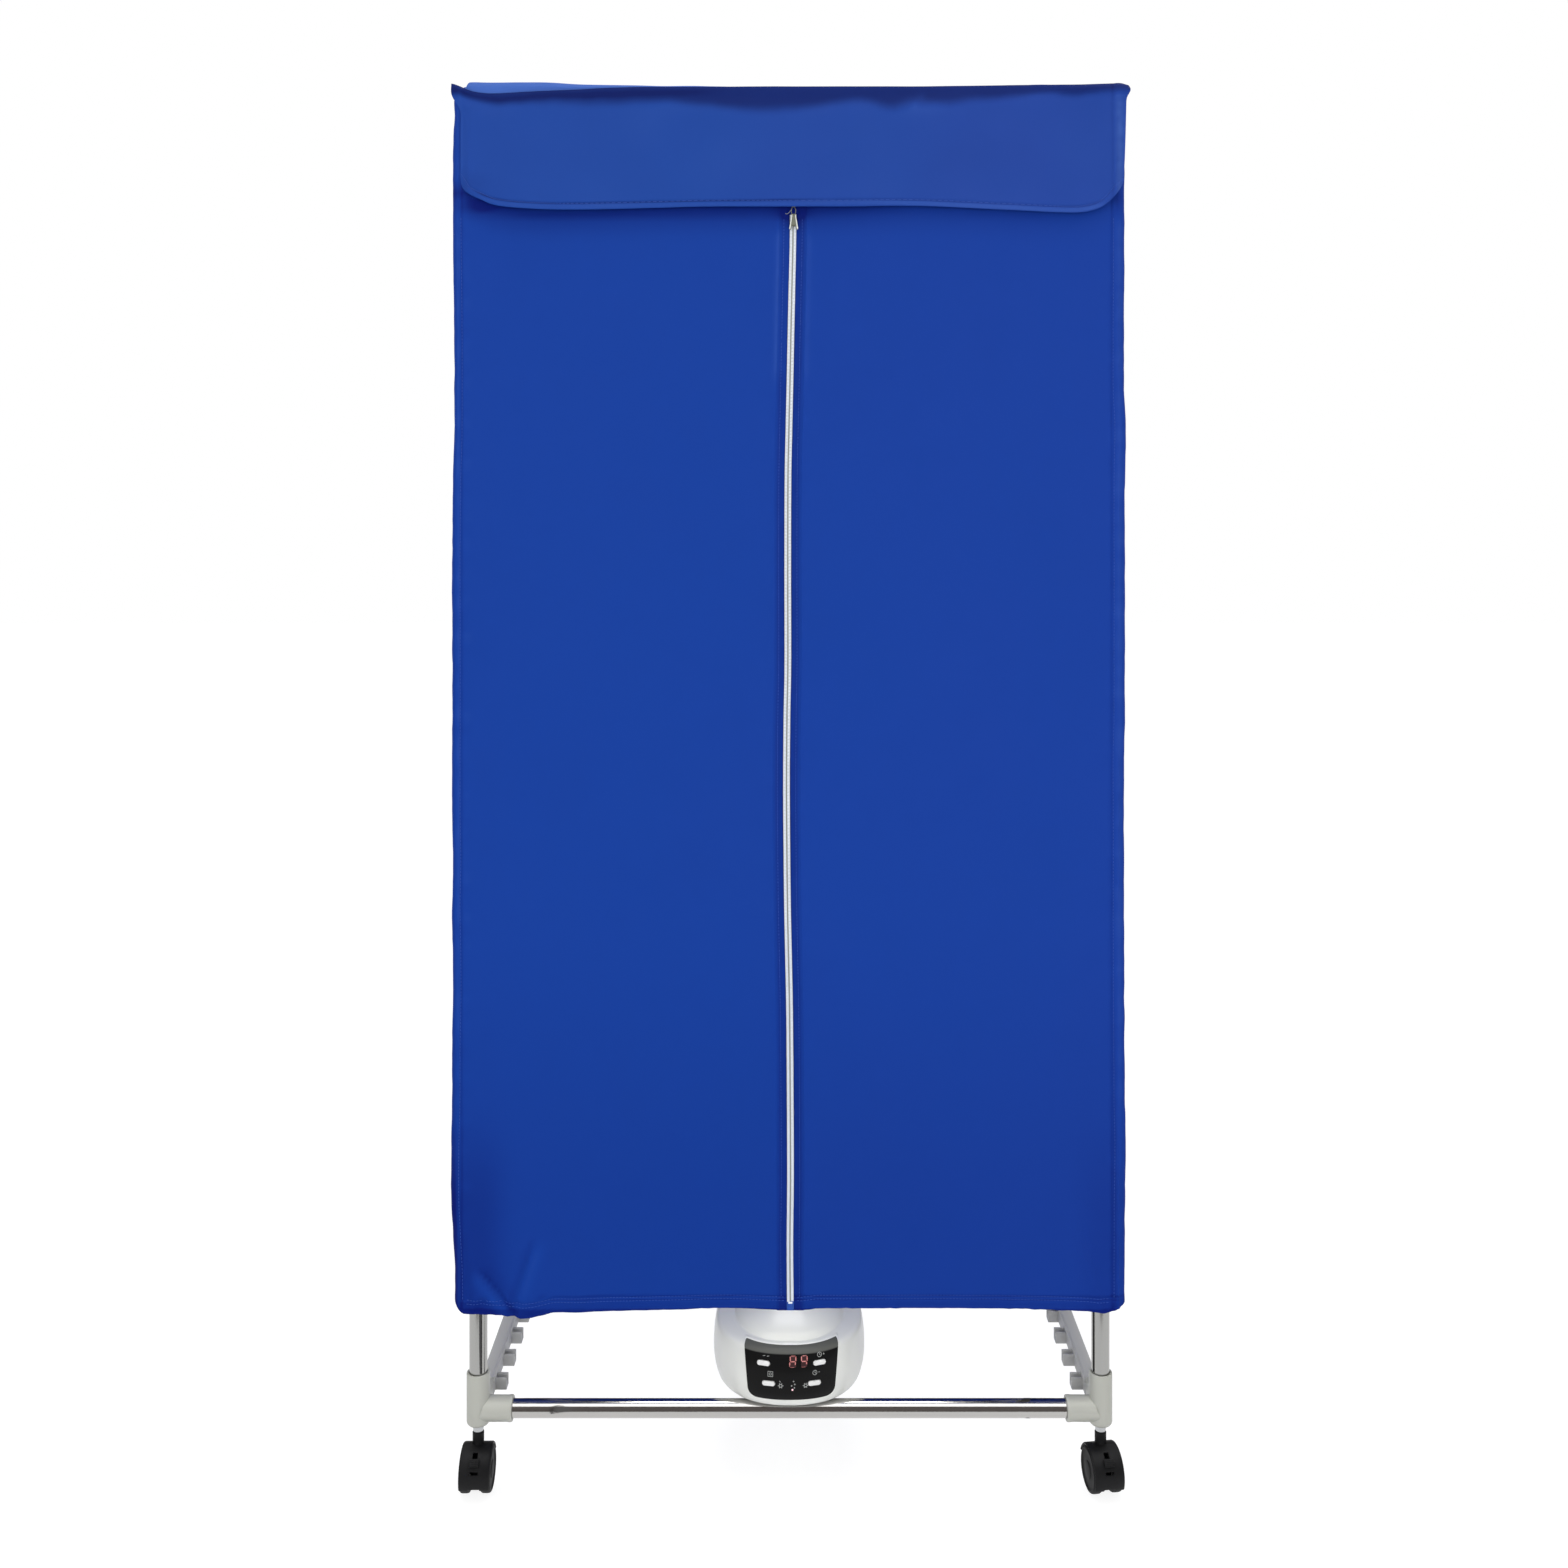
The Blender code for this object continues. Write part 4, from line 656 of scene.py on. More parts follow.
def stem_shape():
    """The plated stem with its nut."""
    shank = [(0, 42.0), (3.2, 42.0), (3.5, 42.5), (3.5, 60.2), (3.5, 67.3), (3.5, 78.0), (3.0, 78.5), (0, 78.5)]
    nut = [(3.4, 60.3), (5.0, 60.3), (5.55, 60.9), (5.6, 61.5), (5.6, 66.2), (5.5, 66.8), (5.0, 67.2), (3.4, 67.2)]
    return together(turned(in_mm(shank), 32), turned(in_mm(nut), 40, closed=True))


def add_caster(corner):
    front = corner.startswith("front")
    wheels = together(wheel_shape(-1), wheel_shape(1), pin(2.5, 7, 24, AT_AXLE))
    parts = [("caster_hood", "moulded", together(hood_shape(front), web_shape()), BLACK, "swivel", "caster_plastic"),
             ("caster_wheels", "moulded", wheels, TYRE, "wheels", "caster_plastic"),
             ("caster_stem", "plated", stem_shape(), ZINC, None, "stem_zinc")]
    if front:
        parts.append(("brake_lever", "moulded", lever_shape(), BLACK, "brake", "caster_plastic"))
    for kind, ending, shape, finish, body, slot in parts:
        node = f"{kind}_{corner}"
        piece(f"{node}_{ending}", moved(shape, swivel(corner)), finish, f"{body}_{corner}" if body else "frame",
              node, 32)


for corner in CORNERS:
    add_caster(corner)


# Heater

HEATER_FLOOR = Vector((0, -147.5 * MM, 93.3 * MM))
# Half width and half depth of the heater at each height, in millimetres
HEATER_PROFILE = (
    (70.5, 78.2, 0.0), (73.5, 81.5, 0.6), (76.8, 85.2, 2.8), (78.9, 87.4, 5.6), (80.4, 89.1, 9.8),
    (81.8, 90.7, 15.6), (82.7, 91.6, 21.6), (83.0, 92.0, 26.7), (83.0, 92.0, 32.2), (82.8, 91.8, 37.7),
    (82.5, 91.4, 43.2), (81.8, 90.7, 49.7), (80.9, 89.7, 55.2), (80.1, 88.9, 58.4), (79.1, 87.9, 60.3),
    (77.6, 86.6, 61.4), (75.6, 85.0, 62.1), (72.0, 82.1, 62.9), (67.5, 78.4, 63.6), (63.0, 75.0, 64.2),
    (60.9, 73.3, 64.0), (59.9, 72.5, 64.6), (59.2, 72.0, 66.0), (57.6, 70.9, 68.2), (54.3, 68.3, 71.0),
    (49.5, 62.2, 75.0), (43.5, 54.6, 79.6), (36.0, 45.4, 84.0), (27.5, 34.5, 87.4), (18.5, 23.4, 89.6),
    (9.5, 12.0, 90.7), (1.2, 1.5, 91.0))
# How square the heater's plan is: 2 would be an ellipse
HEATER_POWER = 2.3


def spread(table, share):
    """Read a table of evenly spaced values between its entries."""
    place = min(max(share, 0.0), 1.0) * (len(table) - 1)
    index = min(int(place), len(table) - 2)
    low, high = Vector(table[index]), Vector(table[index + 1])
    return low.lerp(high, place - index)


def laid(columns, rows, place, wrapped=False):
    """A grid whose points go where place(u, v) puts them, with u and v from 0 to 1."""
    shape = bmesh.new()
    bmesh.ops.create_grid(shape, x_segments=columns, y_segments=rows, size=0.5)
    for vert in shape.verts:
        vert.co = Vector(place(vert.co.x + 0.5, vert.co.y + 0.5))
    if wrapped:
        bmesh.ops.remove_doubles(shape, verts=shape.verts, dist=0.001 * MM)
    bmesh.ops.recalc_face_normals(shape, faces=shape.faces)
    return shape


def carved(shape, cutters):
    """A closed shape with closed cutters taken out of it."""
    holders = []
    for part in (shape, together(*cutters)):
        mesh = bpy.data.meshes.new("holder")
        part.to_mesh(mesh)
        part.free()
        holders.append(bpy.data.objects.new("holder", mesh))
        bpy.context.collection.objects.link(holders[-1])
    cut = holders[0].modifiers.new("cut", "BOOLEAN")
    cut.object, cut.operation, cut.solver, cut.use_self = holders[1], "DIFFERENCE", "EXACT", True
    bpy.context.view_layer.update()
    finished = holders[0].evaluated_get(bpy.context.evaluated_depsgraph_get())
    whole = bmesh.new()
    whole.from_mesh(finished.to_mesh())
    finished.to_mesh_clear()
    for holder in holders:
        mesh = holder.data
        bpy.data.objects.remove(holder)
        bpy.data.meshes.remove(mesh)
    return whole


def round_heater(half_width, half_depth, share):
    """A point of a rounded ring, starting at the back."""
    angle = math.tau * share + math.pi / 2
    across, back = math.cos(angle), math.sin(angle)
    power = 2 / HEATER_POWER
    return (math.copysign(abs(across) ** power, across) * half_width,
            math.copysign(abs(back) ** power, back) * half_depth)


def heater_skin(share, rise):
    """A point of the heater's skin, by its share once round and its share of the way up."""
    half_width, half_depth, height = spread(HEATER_PROFILE, rise)
    x, y = round_heater(half_width, half_depth, share)
    return HEATER_FLOOR + Vector((x, y, height)) * MM


def heater_face(x, height, lift=0.0):
    """A point on the heater's front, in millimetres across and up, raised by a small lift."""
    for low, high in zip(HEATER_PROFILE, HEATER_PROFILE[1:]):
        if low[2] <= height <= high[2]:
            share = (height - low[2]) / (high[2] - low[2])
            break
    half_width, half_depth, _ = Vector(low).lerp(Vector(high), share)
    steep = (low[1] - high[1]) / (high[2] - low[2])
    tilt = 1 / math.sqrt(1 + steep * steep)
    across = min(abs(x) / half_width, 0.999)
    back = half_depth * (1 - across ** HEATER_POWER) ** (1 / HEATER_POWER)
    out_x = math.copysign(across ** (HEATER_POWER - 1) / half_width, x)
    out_y = (back / half_depth) ** (HEATER_POWER - 1) / half_depth
    length = math.hypot(out_x, out_y)
    out = Vector((out_x / length, -out_y / length, 0)) * tilt + Vector((0, 0, steep * tilt))
    return HEATER_FLOOR + (Vector((x, -back, height)) + out * lift) * MM


# The panel in millimetres: its middle across, its foot and head, its corners, and how far it stands out
PANEL_MIDDLE, PANEL_FOOT, PANEL_HEAD = 2, 11.5, 63.2
FOOT_HALF, HEAD_FLARE, FOOT_CORNER, HEAD_CORNER = 45, 4.5, 9.0, 2.6
PANEL_LIFT = 0.8
# Heights of the panel's rows
PANEL_ROWS = (11.5, 11.6, 11.9, 12.5, 13.3, 14.4, 16, 18, 20.5, 24, 28, 32, 36, 40, 44, 48, 52, 55, 56.5, 57.5,
              58.4, 59.2, 59.9, 60.5, 61.0, 61.5, 62.0, 62.4, 62.8, 63.05, 63.2)
BUTTONS = {"button_upper_left": (2 - 29.2, 49.0), "button_upper_right": (2 + 29.2, 49.0),
           "button_lower_left": (2 - 23.9, 29.2), "button_lower_right": (2 + 23.9, 29.2)}
# The slots in the heater's top, in millimetres: number, pitch and half width
SLOTS, SLOT_PITCH, SLOT_HALF = 7, 11, 2.5
SHELL_WALL, PANEL_WALL = 2.2 * MM, 2.4 * MM
# The lit digits: places across, middle height, slant, and the bars that each one leaves dark
DIGITS, DIGIT_HEIGHT, DIGIT_SLANT = ((3.4, ()), (15.1, ("lower_left",))), 51.7, 0.10
# Each bar of a digit: across, up, and whether it stands
BARS = {"top": (0, 5.1, False), "middle": (0, 0, False), "bottom": (0, -5.1, False),
        "upper_left": (-2.9, 2.6, True), "upper_right": (2.9, 2.6, True),
        "lower_left": (-2.9, -2.6, True), "lower_right": (2.9, -2.6, True)}


def panel_half(height):
    """Half the panel's width at a height, with its corners rounded."""
    half = FOOT_HALF + HEAD_FLARE * (height - PANEL_FOOT) / (PANEL_HEAD - PANEL_FOOT)
    for inside, corner in ((height - PANEL_FOOT, FOOT_CORNER), (PANEL_HEAD - height, HEAD_CORNER)):
        if inside < corner:
            half -= corner - math.sqrt(max(corner * corner - (corner - inside) ** 2, 0))
    return half


def panel_place(u, v):
    height = PANEL_ROWS[round(v * (len(PANEL_ROWS) - 1))]
    return heater_face(PANEL_MIDDLE + (2 * u - 1) * panel_half(height), height, PANEL_LIFT)


def panel_edge(share):
    """A point on the panel's outline, once round from the bottom left."""
    side = share * 4
    rows = len(PANEL_ROWS) - 1
    if side < 1:
        height, across = PANEL_ROWS[0], 2 * side - 1
    elif side < 2:
        height, across = PANEL_ROWS[round((side - 1) * rows)], 1
    elif side < 3:
        height, across = PANEL_ROWS[-1], 5 - 2 * side
    else:
        height, across = PANEL_ROWS[round((4 - side) * rows)], -1
    return PANEL_MIDDLE + across * panel_half(height), height


def panel_bead(u, v):
    """The rounded rim that the shell has round the panel."""
    x, height = panel_edge(u)
    turn = math.tau * v
    away = Vector((x - PANEL_MIDDLE, height - 37)).normalized() * (0.7 + 0.75 * math.cos(turn))
    height = min(max(height + away.y, PANEL_FOOT - 1), PANEL_HEAD + 0.7)
    return heater_face(x + away.x, height, 0.15 + 0.75 * math.sin(turn))


def on_panel(x, height):
    """The matrix at a point of the panel: X across, Y up, Z out of the face."""
    right = (heater_face(x + 1, height, PANEL_LIFT) - heater_face(x - 1, height, PANEL_LIFT)).normalized()
    up = (heater_face(x, height + 1, PANEL_LIFT) - heater_face(x, height - 1, PANEL_LIFT)).normalized()
    out = right.cross(up).normalized()
    up = out.cross(right)
    centre = heater_face(x, height, PANEL_LIFT)
    return Matrix.Translation(centre) @ Matrix((right, up, out)).transposed().to_4x4()


def pill(length, height, low, high):
    """A bar with round ends, in millimetres, standing on the XY plane."""
    radius, reach = height / 2, length / 2 - height / 2
    outline = []
    for start, middle in ((-90, reach), (90, -reach)):
        for step in range(13):
            turn = math.radians(start + 15 * step)
            outline.append(((middle + radius * math.cos(turn)) * MM, radius * math.sin(turn) * MM))
    return prism(outline, low * MM, high * MM)


def add_heater():
    """The heater's shell, its panel and its four buttons."""
    shell = laid(112, len(HEATER_PROFILE) - 1, heater_skin, wrapped=True)
    bmesh.ops.solidify(shell, geom=shell.faces[:], thickness=SHELL_WALL)
    slots = []
    for index in range(SLOTS):
        x = (index - SLOTS // 2) * SLOT_PITCH
        slots.append(block(HEATER_FLOOR + Vector((x - SLOT_HALF, -18, 64)) * MM,
                           HEATER_FLOOR + Vector((x + SLOT_HALF, 52, 96)) * MM))
    rim = laid(4 * (len(PANEL_ROWS) - 1), 8, panel_bead, wrapped=True)
    piece("heater_shell_moulded", together(carved(shell, slots), rim), WHITE, "frame",
          "heater_shell", 40)

    panel = laid(44, len(PANEL_ROWS) - 1, panel_place)
    bmesh.ops.solidify(panel, geom=panel.faces[:], thickness=PANEL_WALL)
    soften(panel, 0.35 * MM, 2, 60)
    holes = [moved(pill(14.3, 5.5, -6, 3), on_panel(*place)) for place in BUTTONS.values()]
    piece("control_panel_gloss", carved(panel, holes), PANEL, "frame", "control_panel", 30)
    for name, place in BUTTONS.items():
        cap = soften(pill(13.6, 4.8, -3.6, 1.2), 0.75 * MM, 3, 60)
        piece(name + "_cap", moved(cap, on_panel(*place)), BUTTON, name.replace("button", "key"),
              name, 50)


def add_display():
    """Two lit digits, each made of bars over a faint glow."""
    lit, backs = [], []
    for centre, dark in DIGITS:
        for name, (across, up, stands) in BARS.items():
            if name not in dark:
                place = on_panel(centre + across + DIGIT_SLANT * up, DIGIT_HEIGHT + up)
                lit.append(moved(pill(4.5, 1.0, 0, 0.14), place @ Matrix.Rotation(QUARTER * stands, 4, "Z")))
        backs.append(moved(cushion((-3.1, -5.4, -0.1), (3.1, 5.4, 0.05), 0.04, 1), on_panel(centre, DIGIT_HEIGHT)))
    piece("display_digits", together(*lit), DIGIT, "frame")
    piece("display_glow", together(*backs), GLOW, "frame")


def add_marks():
    """The small signs by the buttons, made of rings and dashes, and the lamp below them."""
    marks = []

    def ring(x, height, radius, width=0.5, steps=28):
        profile = [(radius - width, 0), (radius, 0), (radius, 0.1), (radius - width, 0.1)]
        marks.append(turned(in_mm(profile), steps, on_panel(x, height), closed=True))

    def dash(x, height, length, width=0.5, turn=0):
        place = on_panel(x, height) @ Matrix.Rotation(math.radians(turn), 4, "Z")
        marks.append(moved(pill(length, width, 0, 0.1), place))

    # Two clocks, one with a plus and one with a minus
    for x, height, plus in ((31.2, 56.4, True), (26.4, 39.6, False)):
        ring(x, height, 2.5)
        dash(x + 0.6, height - 0.4, 1.9, 0.45, -35)
        dash(x, height + 0.7, 1.8, 0.45, 90)
        dash(x + 4.4, height, 1.9)
        if plus:
            dash(x + 4.4, height, 1.9, 0.5, 90)
    for x in (-26.6, -22.4):
        dash(x, 56.0, 2.6, 0.55, 12)
    # A square with a ring in it
    for side in range(4):
        turn = QUARTER * side
        dash(-20 + 2.5 * math.cos(turn), 38.9 + 2.5 * math.sin(turn), 5.2, 0.5, 90 + 90 * side)
    ring(-20, 38.9, 1.4, 0.45)
    # Two small stars, and the dots between them
    for x in (-9.3, 16.7):
        ring(x, 27.4, 2.1, 0.8, 6)
        for side in range(6):
            turn = math.tau * side / 6
            dash(x + 2.4 * math.cos(turn), 27.4 + 2.4 * math.sin(turn), 1.1, 0.6, 60 * side)
    dash(-10.0, 31.8, 1.8, 0.8, -50)
    for x, height in ((4.2, 32.0), (5.4, 28.9), (2.1, 27.5), (5.0, 25.4)):
        ring(x, height, 0.75, 0.6, 12)
    piece("panel_marks", together(*marks), PRINT, "frame")
    lamp = turned(in_mm([(0, -0.1), (1.0, -0.1), (0.9, 0.25), (0, 0.35)]), 20, on_panel(3.0, 23.2))
    piece("heat_lamp", lamp, LAMP, "frame")


def panel_finish():
    """Gloss black, with painted reflections: paler low down and along its top edge, in metres above the floor."""
    gloss = Finish("panel_black", (0.011, 0.011, 0.011), Specular_IOR_Level=0.06, Coat_Weight=0.03,
                   Coat_Roughness=0.06)
    height = gloss.axes()[2]
    # Painted reflections: a pale band along the top edge and a slightly paler band low down
    upper = ((height - (93.3 + 58.2) * MM) * 900).held()
    fade = ((93.3 * MM + 20 * MM - height) * 70).held()
    middle = gloss.blend(fade, (0.0085, 0.0085, 0.0085), (0.014, 0.014, 0.0145))
    gloss.colour(gloss.blend(upper, middle, (0.105, 0.107, 0.098)))
    gloss.rough(0.22 + upper * 0.12 + gloss.noise(60, 3) * 0.05)
    gloss.bump(gloss.noise(500, 2), 0.01 * MM, 0.4)
    return gloss


PANEL = panel_finish()
BUTTON = moulded_finish("button_white", (0.80, 0.80, 0.79), 0.38, 900.0, 0.01, 0.01)
DIGIT = Finish("digit_red", (0.24, 0.045, 0.045), Roughness=0.4, Emission_Strength=0.8)
DIGIT.glow(DIGIT.blend((DIGIT.noise(700, 2) - 0.35).held() * 2.2, (0.42, 0.13, 0.12), (0.80, 0.42, 0.40)))
GLOW = moulded_finish("display_glow_red", (0.040, 0.005, 0.007), 0.4, 900.0, 0.005, 0.3)
PRINT = moulded_finish("panel_print", (0.33, 0.34, 0.33), 0.5, 900.0, 0.005, 0.25)
LAMP = Finish("lamp_lit", (0.6, 0.35, 0.38), Roughness=0.3, Emission_Strength=0.7)
LAMP.glow(LAMP.blend(LAMP.noise(300), (0.9, 0.55, 0.60), (0.95, 0.75, 0.78)))

for name, dressing in (("heater_base", WHITE), ("fan_motor", METAL), ("heating_element", METAL),
                       ("fan_impeller", BLACK)):
    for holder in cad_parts[name].material_slots:
        holder.material = dressing.material
add_heater()
add_display()
add_marks()


# Cloth cover

# In millimetres: half the cover's width and depth, the heights of its top and hem, and the hem's stitches
COVER_X, COVER_Y, COVER_TOP, HEM = 352.0, 238.0, 1485.5, 200.0
COVER_CORNER = 8
HEM_ROWS = 213.4, 210.0


def smooth(value):
    """A soft step from 0 to 1."""
    value = min(max(value, 0.0), 1.0)
    return value * value * (3 - 2 * value)


def bell(value, middle, width):
    """A soft hump of height 1 round its middle."""
    return math.exp(-((value - middle) / width) ** 2)


def drift(x, z, size, seed=0.0):
    """Soft unevenness between -1 and 1."""
    return noise.noise(Vector((x / size, z / size, seed)))


def curve(points, x):
    """Read a table of (x, value) pairs along a soft curve."""
    if x <= points[0][0]:
        return points[0][1]
    for index in range(len(points) - 1):
        (low, start), (high, end) = points[index], points[index + 1]
        if x <= high:
            before, after = points[max(index - 1, 0)], points[min(index + 2, len(points) - 1)]
            step, part = high - low, (x - low) / (high - low)
            lean_in = (end - before[1]) / (high - before[0]) * step
            lean_out = (after[1] - start) / (after[0] - low) * step
            return (start * (2 * part ** 3 - 3 * part ** 2 + 1) + lean_in * (part ** 3 - 2 * part ** 2 + part)
                    + end * (3 * part ** 2 - 2 * part ** 3) + lean_out * (part ** 3 - part ** 2))
    return points[-1][1]


# Height, and how far to the right the zip stands there, or how far out each side bulges
ZIP_LINE = ((199, 0.9), (268, 0.4), (340, 1.0), (469, 0.4), (520, -0.1), (570, -1.1), (620, -2.1), (671, -2.7),
            (746, -3.2), (821, -2.7), (872, -1.8), (972, -1.9), (1073, -1.6), (1123, -0.6), (1173, 0.5), (1224, 1.5),
            (1274, 2.6), (1324, 3.6), (1486, 4.5))
LEFT_BULGE = ((199, 0), (235, 0.3), (268, 2.1), (318, 4.2), (369, 4.2), (419, 3.1), (469, 3.1), (520, 2.1),
              (570, 2.2), (620, 3.1), (670, 2.2), (721, 3.1), (850, 3.0), (972, 3.1), (1022, 2.7), (1073, 2.2),
              (1123, 1.0), (1224, 1.0), (1324, 2.0), (1400, 2.2), (1440, 1.5), (1456, -0.6), (1486, -0.6))
RIGHT_BULGE = ((199, -0.8), (300, -1), (369, -2), (420, -1), (771, 0), (821, -1), (1073, -1), (1123, -2),
               (1173, 0), (1330, -0.5), (1400, 0.6), (1486, 0.4))
# Across, and how far the hem stands above or hangs below its height
HEM_LINE = ((-352, 7), (-349, 2), (-345, -2.5), (-340, -4.4), (-320, -4.9), (-301, -5.4), (-291, -7.4),
            (-281, -9.2), (-268, -7.8), (-256, -4.6), (-246, -2.6), (-226, -2.8), (-190, -1.7), (-147, -1.1),
            (-115, -0.4), (-75, 0.9), (-22, -0.6), (14, -1.1), (30, 0.9), (120, 0.6), (250, 0.2), (310, -1.6),
            (333, -3.0), (342, 0), (352, 5.0))


def zip_line(z):
    """How far to the right the zip stands at a height."""
    return curve(ZIP_LINE, z)


def beside(x, z, start, end):
    """How far a point lies beside a line, and how much of the line's strength it has there."""
    a, b = Vector(start), Vector(end)
    run = b - a
    share = (Vector((x, z)) - a).dot(run) / run.length_squared
    side = ((x - a.x) * run.y - (z - a.y) * run.x) / run.length
    return side, smooth(share / 0.35 + 0.25) * smooth((1.22 - share) / 0.3)


def crease(x, z, start, end, ridge, depth):
    """A sharp fold from a start to an end: a ridge on one side of a valley, fading at both ends."""
    side, fade = beside(x, z, start, end)
    return fade * (ridge * bell(side, 6.5, 6.0) - depth * bell(side, -1.5, 3.6))


CREASES = (((-326, 243), (-290, 199), 3.2, 3.4), ((-266, 275), (-291, 203), 2.6, 2.4),
           ((-318, 219), (-329, 203), 1.6, 1.6), ((300, 300), (333, 199), 1.0, 1.0),
           ((-345, 300), (-338, 214), 1.2, 1.4))


def folds(x, z):
    """All the creases of the front together."""
    return sum(crease(x, z, *fold) for fold in CREASES)


def placket(x, z):
    """The doubled strip beside the zip, puckered where its stitches pull."""
    off = abs(x - zip_line(z))
    strip = smooth((off - 3.4) / 1.4) * smooth((14.6 - off) / 1.6)
    pull = smooth((z - 1150) / 60) * 0.8 + 0.35
    pucker = math.sin(z / 1.9 + 2.5 * drift(x, z, 22, 4.0)) * 0.16 + drift(x * 0.6, z, 7.5, 7.7) * 0.75
    return strip * (0.75 + pull * pucker) - 0.35 * bell(off, 15.2, 1.4)


def front_relief(x, z):
    """How far the front stands out at a place, in millimetres: uneven cloth, folds, seams and hem."""
    loose = smooth((560 - z) / 360)
    rise = drift(x * 0.8 + z * 0.35, z * 0.55 - x * 0.2, 95, 1.3) * (0.9 + 1.5 * loose)
    rise += drift(x + z * 0.5, z - x * 0.3, 34, 2.1) * (0.22 + 0.5 * loose)
    rise += placket(x, z) - 1.0 * bell(x, 0, 60) * (1 - smooth((z - 1200) / 100)) + folds(x, z)
    rise -= 0.22 * bell(z, 481.8 + 3 * drift(x, 0, 60), 1.6) * smooth((x + 215) / 40) * smooth((140 - x) / 50)
    rise -= 0.20 * bell(x, -139.9 + 2 * drift(0, z, 60), 1.6) * smooth((z - 380) / 50) * smooth((600 - z) / 60)
    # The seams at the two sides, and the doubled hem
    rise += 1.0 * bell(x, -347.5, 2.6) - 0.9 * bell(x, -343.6, 1.5)
    rise += smooth((x - 336) / 2) * (0.5 + 0.9 * drift(x, z, 9.0, 5.0)) - 0.8 * bell(x, 337.2, 1.3)
    rise += 0.6 * bell(x, 346, 3) - 0.5 * bell(x, 342.6, 1.0) * smooth((420 - z) / 90)
    rise += 0.35 * drift(0, z, 11.0, 8.0) * bell(x, -345, 7)
    rise += 0.55 * smooth((212.6 - z) / 1.2) - 0.35 * bell(z, 213.4, 0.9) - 0.3 * bell(z, 210.2, 0.7)
    rise += 0.3 * drift(x, z, 9, 3.0) * bell(z, 206, 7)
    hollow = smooth((z - 1466) / 10)
    rise -= 4.5 * hollow * smooth((x + 75) / 70) + 1.0 * hollow
    return min(max(rise, -7.5), 1.4 + 1.4 * smooth((1345 - z) / 20))


def side_relief(y, z, seed):
    """How far a side or the back stands out: hanging folds that fade towards the corners."""
    loose = smooth((1400 - z) / 1100)
    fold = math.sin(y / 34 + seed + 0.9 * drift(y, z, 210, seed)) * (0.5 + 1.7 * loose)
    fold += drift(y, z * 0.4, 60, seed + 3) * (0.8 + 1.2 * loose) - 0.8 - 1.3 * loose
    fold += 0.4 * smooth((212.6 - z) / 1.2)
    fold *= smooth((COVER_Y - abs(y)) / 26)
    wave = 0.5 * drift(0, z, 46, 9 + seed) + 0.7 * drift(0, z, 17, 12 + seed)
    return fold + wave * smooth((abs(y) - 150) / 70)


def bulge(x, y, z):
    """How far the cloth near the two front corners stands out sideways."""
    table = LEFT_BULGE if x < 0 else RIGHT_BULGE
    front = smooth((-y - 120) / 80)
    return math.copysign(curve(table, z) * front * smooth((abs(x) - 262) / 84), x)


def front_offsets():
    """Where the columns of half the front stand, from the zip to the corner."""
    near = [3.3, 4.2, 5.0, 5.8, 6.8, 7.9, 9.1, 10.3, 11.5, 12.6, 13.6, 14.4, 15.2, 16.2, 18, 21, 26]
    middle = [26 + 6.6 * step for step in range(1, 34)] + [247 + 3.2 * step for step in range(21)]
    far = [314, 318, 322, 325.5, 328.5, 331, 333, 334.6, 336, 337.2, 338.6, 340, 341.2, 342.4, 343.4, 344]
    return near + middle + far


def cover_outline():
    """Points once round the cover from the zip: x, y, the way out, and the face each is on."""
    flat_x, flat_y = COVER_X - COVER_CORNER, COVER_Y - COVER_CORNER
    across = [flat_y * step / 17 for step in range(-16, 17)]
    back = [flat_x * step / 22 for step in range(-21, 22)]
    points = [(off, -COVER_Y, 0, -1, "front") for off in front_offsets()]
    for corner_x, corner_y, start in ((1, -1, -90), (1, 1, 0), (-1, 1, 90), (-1, -1, 180)):
        first = 1 if (corner_x, corner_y) == (1, -1) else 0
        last = 5 if (corner_x, corner_y) == (-1, -1) else 6
        for step in range(first, last):
            angle = math.radians(start + 18 * step)
            out = math.cos(angle), math.sin(angle)
            points.append((corner_x * flat_x + COVER_CORNER * out[0], corner_y * flat_y + COVER_CORNER * out[1],
                           *out, "corner"))
        if (corner_x, corner_y) == (1, -1):
            points += [(COVER_X, y, 1, 0, "side") for y in across]
        elif (corner_x, corner_y) == (1, 1):
            points += [(-x, COVER_Y, 0, 1, "back") for x in back]
        elif (corner_x, corner_y) == (-1, 1):
            points += [(-COVER_X, -y, -1, 0, "side") for y in across]
    points += [(-off, -COVER_Y, 0, -1, "front") for off in reversed(front_offsets())]
    return points


def cover_levels():
    """Heights of the cover's rows above the floor."""
    low = [0, 0.5, 1.2, 2.2, 3.6, 5.2, 6.8, 8.4, 9.5, 10.2, 11.0, 12.0, 12.6, 13.2, 14.0, 15.4, 18, 22, 27, 33]
    middle = [33 + 3.8 * step for step in range(1, 16)] + [90 + 7.6 * step for step in range(1, 154)]
    top = [1262, 1266, 1269.5, 1272.5, 1275, 1277.2, 1279.2]
    return [HEM + level for level in low + middle + top]


def top_height(x, y):
    """The cloth of the top: taut over the four corner posts, sagging between them and lifted at the front left."""
    posts = min(math.hypot(abs(x) - 330.5, abs(y) - 215.5), 400)
    slack = smooth((posts - 24) / 150)
    front = bell(y, -226, 30)
    sag = slack * (3.6 - 1.2 * front + 3.0 * bell(x, 0, 190) * bell(y, 0, 130)) + 1.2 * drift(x, y, 70, 2.0) * slack
    lift = 1.5 * front * smooth((x + 352) / 24) * smooth((-40 - x) / 260)
    lift += 0.9 * front * bell(x, -260, 26) + 0.8 * front * drift(x, 0, 40, 6.0)
    return COVER_TOP - sag + lift


